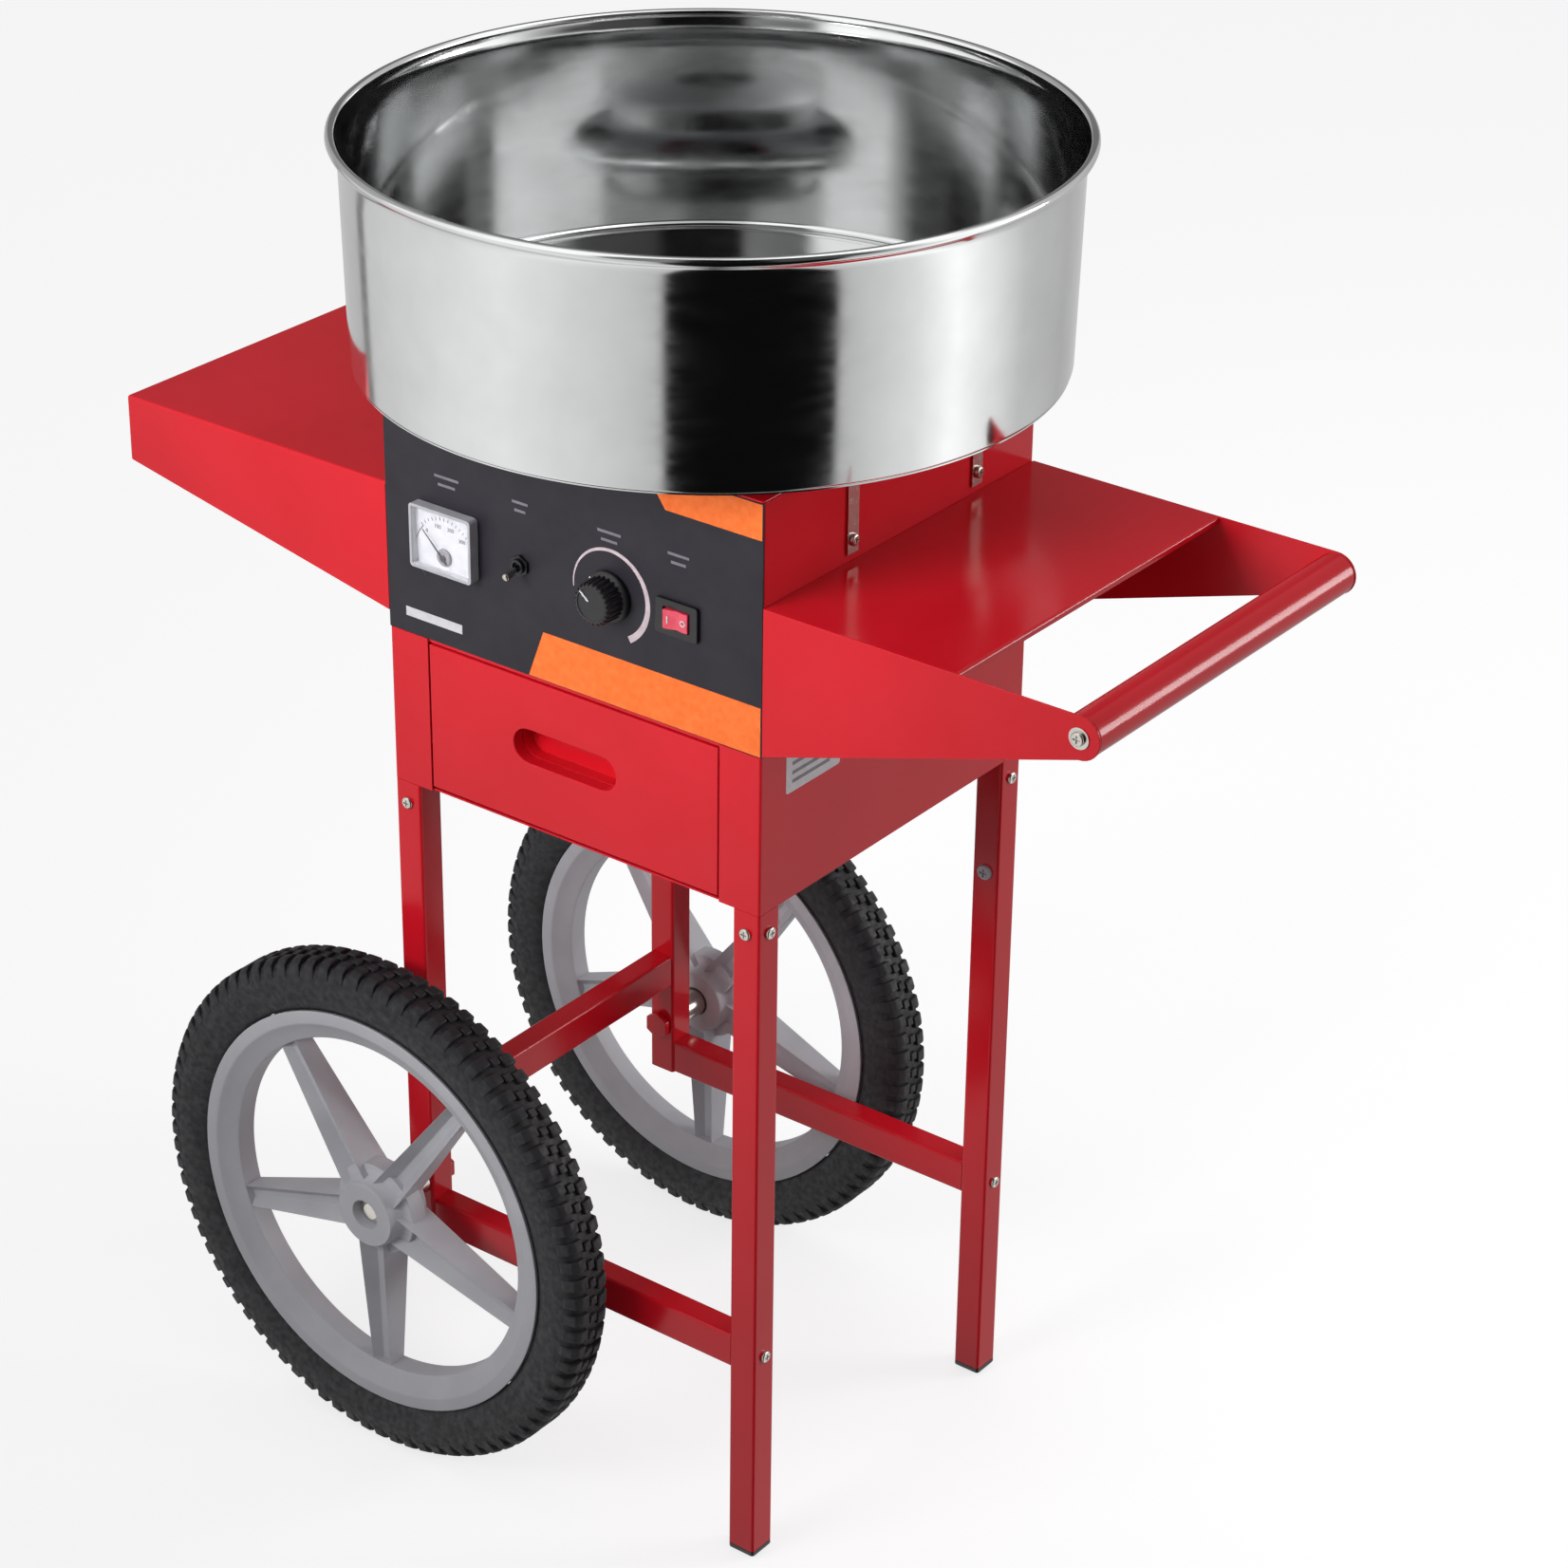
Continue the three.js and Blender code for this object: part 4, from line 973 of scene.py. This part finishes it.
# ---- Wheels ----
def wheel(place):
    lo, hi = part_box("wheel_rim_" + place)
    centre = (lo + hi) / 2
    half = [
        (165, 17), (164.2, 17.6), (156, 17.6), (154.2, 17), (152.8, 15.6), (146.5, 11.8), (141, 9.2), (140, 8.2),
    ]
    seat = [(165, -13), (158, -10), (158, 10), (165, 13)]
    profile = [(r, -h) for r, h in half[::-1]] + [(165, -14)] + seat[1:3] + half
    ring = spun("wheel_moulding_" + place, profile, centre, axis=Y, steps=160)
    hub_profile = [
        (7.1, -10), (11.5, -10), (11.5, -19), (12.4, -20), (25.5, -20), (27, -18.6), (28.4, -9), (36, -8), (37, -7),
        (37, 7), (36, 8), (28.4, 9), (27, 18.6), (25.5, 20), (12.4, 20), (11.5, 19), (11.5, 10), (7.1, 10),
    ]
    hub = spun("hub", hub_profile, centre, axis=Y, steps=96)
    # one spoke: a tapered bar, higher at the hub, with a trough sunk in both faces
    outline = [(-12.5, -24), (12.5, -24), (8.5, -145), (-8.5, -145)]
    points = [centre + Vector((x, -8, z)) * MM for x, z in outline]
    spoke = slab("spoke", points, Y * 16 * MM)
    edit(spoke)
    for side in (-1, 1):
        choose("VERT", lambda p, n: (p.y - centre.y) * side > 0 and centre.z - p.z < 60 * MM)
        shift(Y * side * 7 * MM)
    for side in (-1, 1):
        choose("FACE", lambda p, n: n.y * side > 0.8)
        bpy.ops.mesh.inset(thickness=2.4 * MM)
        bpy.ops.transform.resize(value=(0.42, 1, 1), center_override=centre)
        shift(-Y * side * 6 * MM)
        # near the hub the trough lies deeper, as the bar is higher there
        near, narrow = 40 * MM, 6 * MM
        choose(
            "VERT",
            lambda p, n: (p.y - centre.y) * side > 0 and abs(p.x - centre.x) < narrow and centre.z - p.z < near,
        )
        shift(-Y * side * 6 * MM)
    leave()
    soften(outwards(spoke), 0.7 * MM, segments=2)
    repeat(spoke, 4, TURN * 4 / 5, centre, Y)
    moulding = soften(weld(ring, hub, spoke), 0)
    nodes = "wheel_rim_" + place, "wheel_spokes_" + place
    fit(moulding, place + "_wheel", "grey_moulded_polypropylene", *nodes)

    lo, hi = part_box("tyre_" + place)
    outer = 206
    carcass = [
        (165.4, -14), (168, -16), (174, -18.4), (184, -20), (192, -19.8), (197, -18), (201.2, -14.5), (202.6, -9),
        (203, 0), (202.6, 9), (201.2, 14.5), (197, 18), (192, 19.8), (184, 20), (174, 18.4), (168, 16), (165.4, 14),
    ]
    tyre = spun("tyre_tread_" + place, carcass, centre, axis=Y, steps=144)
    lugs = 84
    round_tyre = TURN * (lugs - 1) / lugs
    made = [tyre]
    for side in (-1, 1):
        # a shoulder block: wide at the crown and pulled down over the sidewall
        points = [(outer - 0.1, 5), (outer - 0.1, 12.5), (202.5, 17.6), (194, 20), (190, 18.5), (198, 12), (200, 5)]
        a = TURN / lugs / 4 * side
        radial = Vector((math.sin(a), 0, math.cos(a)))
        tangent = Vector((math.cos(a), 0, -math.sin(a)))
        half = tangent * 4.6 * MM
        lug = slab("lug", [centre + radial * r * MM + Y * side * h * MM - half for r, h in points], 2 * half)
        soften(lug, 0.8 * MM, segments=1)
        made.append(repeat(lug, lugs - 1, round_tyre, centre, Y))
    crown = block("crown", centre + Vector((-3.4, -3.6, 200)) * MM, centre + Vector((3.4, 3.6, outer - 0.2)) * MM)
    soften(crown, 0.8 * MM, segments=1)
    made.append(repeat(crown, lugs - 1, round_tyre, centre, Y))
    fit(soften(weld(*made), 0), place + "_wheel", "black_eva_tyre_foam", "tyre_" + place)


def stub_axle(place, s):
    """A nut inside the leg, a collar between leg and wheel and a clip outside the wheel, on one short axle."""
    lo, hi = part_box("stub_axle_" + place)
    x, z = (lo.x + hi.x) / 2, (lo.z + hi.z) / 2

    def along(y):
        return Vector((x, s * y * MM, z))

    rod = soften(drum("axle_stub_" + place, 7 * MM, along(130), along(213.4), 48), 1 * MM)
    nut = soften(drum("leg_nut_" + place, 11.6 * MM, along(128.4), along(133.8), 6), 0.8 * MM)
    fit(soften(nut, 0), "cart", RED)
    profile = [(6.8, 0), (10.4, 0), (11, 0.6), (11, 30.6), (10.4, 31.2), (6.8, 31.2)]
    collar = spun("collar", profile, along(157.3), Y * s, 48)
    profile = [(6.8, 0), (10.1, 0), (10.5, 0.4), (10.5, 1.8), (10.1, 2.2), (6.8, 2.2)]
    clip = spun("clip", profile, along(209.3), Y * s, 48)
    fit(soften(weld(rod, collar, clip), 0), "cart", NICKEL, "stub_axle_" + place)


# ---- Bowl ----
def bowl():
    centre = at(0, 0, 0)
    t = 1.2  # thickness of the wall
    bead_r, bead_z, bead = 256.6, 1028.6, 3.4  # the rolled bead along the rim
    angles = [math.radians(-70 + 250 * i / 8) for i in range(9)]
    rim = [(bead_r + bead * math.cos(a), bead_z + bead * math.sin(a)) for a in angles]
    profile = (
        [(246.4, 869.6), (248.4, 870.2), (249, 871.6), (249.8, 905), (250.9, 955), (252, 1005), (252.5, 1018)]
        + [(253.4, 1022.4), (255.4, 1024.6)]
        + rim
        + [(253.2, 1025.6), (252.1, 1023), (252.5 - t, 1018), (252 - t, 1005), (250.9 - t, 955), (249.8 - t, 905)]
        + [(247.8, 872.4), (246.4, 871.2)]
    )
    wall = spun("bowl_side", profile, centre, steps=192)
    fit(soften(wall, 0), "bowl", MIRROR, "bowl_wall")
    floor_profile = [
        (92, 868.2), (93.6, 868), (246.6, 868), (248, 868.4), (248, 869.4), (246, 869.2), (240, 869.2), (238.6, 869.9),
        (236.4, 869.9), (235, 869.2), (94.8, 869.2), (93.4, 870.4), (93.4, 876.2), (93, 877.2), (92, 877.2),
    ]
    floor = spun("bowl_bottom", floor_profile, centre, steps=160)
    fit(soften(floor, 0), "bowl", MIRROR, "bowl_floor")
    lo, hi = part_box("bowl_seat_ring")
    low, high = lo.z / MM, hi.z / MM
    profile = [
        (118, low), (136, low), (136, low + 2), (133.6, low + 4), (133, high - 1), (132, high), (122, high),
        (121, high - 1), (120.4, low + 4), (118, low + 2),
    ]
    fit(soften(spun("bowl_seat", profile, centre), 0), "cart", "black_moulded_rubber", "bowl_seat_ring")


def bowl_clips():
    """Bent steel strips screwed to the cabinet's sides, bearing on the bowl's underside."""
    for end, y in (("front", -60), ("rear", 85)):
        outline = [
            (165.3, 784), (166.8, 784), (166.8, 838), (168, 841.4), (174, 849.2), (174.6, 851), (174.6, 862.6),
            (175.4, 864.4), (181, 867.7), (179.2, 867.7), (173.8, 865), (173.1, 863.4), (173.1, 851.4), (172.6, 850),
            (166, 841.6), (165.3, 839),
        ]
        points = [at(x, y - 6, z) for x, z in outline]
        strip = slab("clip_right_" + end, points, Y * 12 * MM)
        soften(strip, 0.25 * MM)
        head = screws("head", 4.4 * MM, 2.8 * MM, X, [at(166.8, y, 794)])
        right = weld(strip, head)
        left = mirrored(right, "clip_left_" + end)
        fit(soften(right, 0), "cart", NICKEL, "bowl_clip_right_" + end)
        fit(soften(left, 0), "cart", NICKEL, "bowl_clip_left_" + end)


# ---- Spinner head ----
def spinner():
    lo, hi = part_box("spinner_base")
    centre = Vector(((lo.x + hi.x) / 2, 0, 0))
    z, r = 880, 70  # the dish's underside and radius
    profile = [
        (5.2, z - 6), (13.2, z - 6), (14, z - 5.2), (14, z - 1), (15, z), (r - 5, z), (r - 1.6, z + 1.4), (r, z + 4),
        (r, z + 6.4), (r - 0.6, z + 7), (r - 2.6, z + 7), (r - 3.2, z + 6.2), (r - 6, z + 3), (20, z + 3), (19, z + 4),
        (19, z + 8), (5.2, z + 8),
    ]
    fit(soften(spun("spinner_dish", profile, centre), 0), "spinner", CAST, "spinner_base")

    ribbon_profile = [(r - 14, z + 4), (r - 9, z + 4), (r - 9, z + 22), (r - 14, z + 22)]
    ribbon = spun("heater_coil", ribbon_profile, centre, steps=120)
    # folds of the ribbon: every other pair of columns stands further out
    edit(ribbon)
    choose("VERT", lambda p, n: math.cos(30 * math.atan2(p.y, p.x - centre.x)) > 0)
    bpy.ops.transform.resize(value=(0.97, 0.97, 1), center_override=centre)
    leave()
    fit(soften(ribbon, 0.3 * MM, segments=1), "spinner", "oxidised_nichrome_ribbon", "heating_ring")

    # the band the floss leaves through, with upright slots all the way round
    columns = 120
    bpy.ops.object.select_all(action="DESELECT")
    bpy.ops.mesh.primitive_cylinder_add(
        vertices=columns, radius=(r - 3.3) * MM, depth=16.5 * MM, end_fill_type="NOTHING",
        location=centre + Z * (z + 15.75) * MM,
    )
    band = settle("slotted_band")
    edit(band)
    choose(
        "FACE",
        lambda p, n: round((math.atan2(p.y, p.x - centre.x) / TURN) * columns - 0.5) % 2 == 0,
    )
    bpy.ops.mesh.inset(thickness=0.7 * MM, use_individual=True)
    bpy.ops.mesh.delete(type="FACE")
    leave()
    shape(band, "SOLIDIFY", thickness=1.2 * MM, offset=-1)
    fit(soften(band, 0), "spinner", MIRROR, "perforated_band")

    profile = [
        (26, z + 28.4), (27, z + 28), (r - 1, z + 24.4), (r, z + 24.6), (r + 0.5, z + 25.4), (r + 0.4, z + 26.2),
        (r - 2, z + 27.5), (r - 12, z + 29.4), (r - 13, z + 30), (40, z + 32.6), (29.4, z + 34), (28, z + 34),
        (26.4, z + 33.6), (26, z + 33),
    ]
    cover = spun("spinner_lid", profile, centre, steps=120)
    places = [
        centre + Vector((math.cos(a) * 56 * MM, math.sin(a) * 56 * MM, (z + 29.2) * MM))
        for a in (math.radians(45 + 90 * i) for i in range(4))
    ]
    heads = screws("heads", 3.4 * MM, 2.2 * MM, Z, places)
    fit(soften(weld(cover, heads), 0), "spinner", CAST, "spinner_cover")

    lo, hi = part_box("spinner_shaft")
    low, high = lo.z / MM, hi.z / MM
    profile = [(0, low), (5, low), (5, high - 0.8), (4.2, high), (0, high)]
    shaft = spun("spinner_spindle", profile, centre, steps=48, closed=False)
    nut = drum("nut", 9 * MM, centre + Z * (z + 8.5) * MM, centre + Z * (z + 15.5) * MM, 6)
    soften(nut, 0.6 * MM)
    fit(soften(weld(shaft, nut), 0), "spinner", NICKEL, "spinner_shaft")


# ---- Cable inlet ----
def inlet():
    lo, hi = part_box("inlet_gland")
    wall = CAB_HI.y
    centre = Vector(((lo.x + hi.x) / 2, wall, (lo.z + hi.z) / 2))
    nut = drum("gland_nut", 13 * MM, centre + Y * 0.3 * MM, centre + Y * 6 * MM, 6)
    soften(nut, 0.8 * MM)
    profile = [(4.5, -8), (8.5, -8), (8.5, 6), (8.2, 6.6), (8.2, 12), (7.2, 13.6), (6, 14), (4.8, 14), (4.5, 13.6)]
    body = spun("gland", profile, centre, axis=Y, steps=48)
    bore = drum("bore", 6 * MM, centre - Y * 2 * MM, centre + Y * 8 * MM, 48)
    carve(nut, bore)
    fit(soften(weld(nut, body), 0), "cart", BLACK, "inlet_gland")


cabinet()
side_label()
control_panel()
voltmeter()
toggle_switch()
regulator_knob()
rocker_switch()
drawer()
left_shelf()
right_tray()
legs()
leg_screws()
for end, sign in ENDS:
    wheel(end)
    stub_axle(end, sign)
bowl()
bowl_clips()
spinner()
inlet()

# ---- CAD nodes that stay, with their finishes ----
STAYING = {
    "machine_deck": ZINC,
    "drawer_box": ZINC,
    "drawer_runner_left": ZINC,
    "drawer_runner_right": ZINC,
    "regulator_board": "green_solder_mask",
    "motor_body": CAST,
    "motor_bracket": ZINC,
    "top_bearing": NICKEL,
    "slip_rings": "turned_copper",
    "carbon_brush_lower": "pressed_graphite",
    "carbon_brush_upper": "pressed_graphite",
    "brush_holder": BLACK,
}
for cad, finish_name in STAYING.items():
    for material_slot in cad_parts[cad].material_slots:
        material_slot.material = FINISHES[finish_name][0]


# ---- Studio ----
# brightness of the room by compass angle from the cabinet's front, seen low (below the horizon) and high
LOW_ROOM = [
    (-180, 0.36), (-150, 0.45), (-104, 0.4), (-102, 0.18), (-98, 0.18), (-96, 0.5), (-30, 0.74), (10, 0.52), (22, 0.45),
    (24, 0.003), (70, 0.003), (76, 0.012), (78, 0.42), (104, 0.66), (119, 0.96), (134, 0.72), (150, 0.48), (180, 0.36),
]
HIGH_ROOM = [
    (-180, 0.42), (-170, 0.4), (-164, 0.14), (-128, 0.14), (-122, 0.3), (-74, 0.35), (-68, 0.8), (-10, 0.95), (2, 0.9),
    (7, 0.12), (26, 0.2), (29, 0.004), (54, 0.004), (58, 0.05), (84, 0.06), (98, 0.5), (106, 0.95), (143, 0.9),
    (150, 0.45), (180, 0.42),
]


def room(tree, share, stops):
    """Brightness round the room as a colour ramp."""
    ramp = node(tree, "ShaderNodeValToRGB", {"Fac": share})
    elements = ramp.color_ramp.elements
    while len(elements) < len(stops):
        elements.new(0.5)
    for element, (degrees, value) in zip(elements, stops):
        element.position = (degrees + 180) / 360
        element.color = (value, value, value, 1)
    return ramp.outputs[0]


def studio():
    scene = bpy.context.scene
    scene.view_settings.view_transform = "Standard"
    scene.view_settings.look = "None"
    # pale floor
    bpy.ops.object.select_all(action="DESELECT")
    bpy.ops.mesh.primitive_plane_add(size=60)
    floor = settle("studio_floor")
    paper = bpy.data.materials.new("pale_backdrop_paper")
    paper.use_nodes = True
    shader = paper.node_tree.nodes["Principled BSDF"]
    for key, value in (
        ("Base Color", linear("#A8A8AA")),
        ("Roughness", 0.9),
        ("Specular IOR Level", 0.0),
        ("Emission Color", (1, 1, 1, 1)),
        ("Emission Strength", 0.74),  # keeps the paper nearly white around the shadows
    ):
        shader.inputs[key].default_value = value
    floor.data.materials.append(paper)
    floor.visible_glossy = False
    floor.visible_diffuse = False

    # gloss and steel reflect a room of white walls and black screens; matt surfaces get an even, weak sky
    world = bpy.data.worlds.new("white_studio")
    scene.world = world
    world.use_nodes = True
    tree = world.node_tree
    way = node(tree, "ShaderNodeTexCoord").outputs["Generated"]
    split = node(tree, "ShaderNodeSeparateXYZ", {"Vector": way})
    flipped = node(tree, "ShaderNodeMath", {0: split.outputs["Y"], 1: -1.0}, operation="MULTIPLY")
    azimuth = node(tree, "ShaderNodeMath", {0: split.outputs["X"], 1: flipped.outputs[0]}, operation="ARCTAN2")
    share = between(tree, azimuth.outputs[0], 0, 1, -math.pi, math.pi)
    height = split.outputs["Z"]

    def mixed(factor, first, second):
        return node(tree, "ShaderNodeMix", {0: factor, 6: first, 7: second}, data_type="RGBA").outputs[2]

    horizon = between(tree, height, 0, 1, -0.12, 0.12)
    walls = mixed(horizon, room(tree, share, LOW_ROOM), room(tree, share, HIGH_ROOM))
    sky = between(tree, height, 0.1, 0.3, -0.5, 0.5)
    glossy = node(tree, "ShaderNodeLightPath").outputs["Is Glossy Ray"]
    tree.links.new(mixed(glossy, sky, walls), tree.nodes["Background"].inputs["Color"])
    tree.nodes["Background"].inputs["Strength"].default_value = 1.4
    # softboxes: where each hangs, the height it aims at, its size, its spread in degrees and its power
    for name, place, aim, size, spread, power in (
        ("key_softbox", (-0.35, -1.35, 1.3), 0.92, 0.8, 70, 4.4),
        ("right_back_softbox", (2.0, 1.9, 1.0), 0.7, 0.9, 180, 24),
        ("top_softbox", (0.2, 0.5, 3.0), 0.7, 1.8, 180, 6),
    ):
        lamp_data = bpy.data.lights.new(name, "AREA")
        lamp_data.size = size
        lamp_data.spread = math.radians(spread)
        lamp_data.energy = power
        lamp = bpy.data.objects.new(name, lamp_data)
        scene.collection.objects.link(lamp)
        lamp.location = place
        lamp.rotation_euler = (Vector((0, 0, aim)) - Vector(place)).to_track_quat("-Z", "Y").to_euler()
        lamp.visible_camera = False
        lamp.visible_glossy = name != "key_softbox"  # so that the bowl mirrors the room instead of the key


studio()
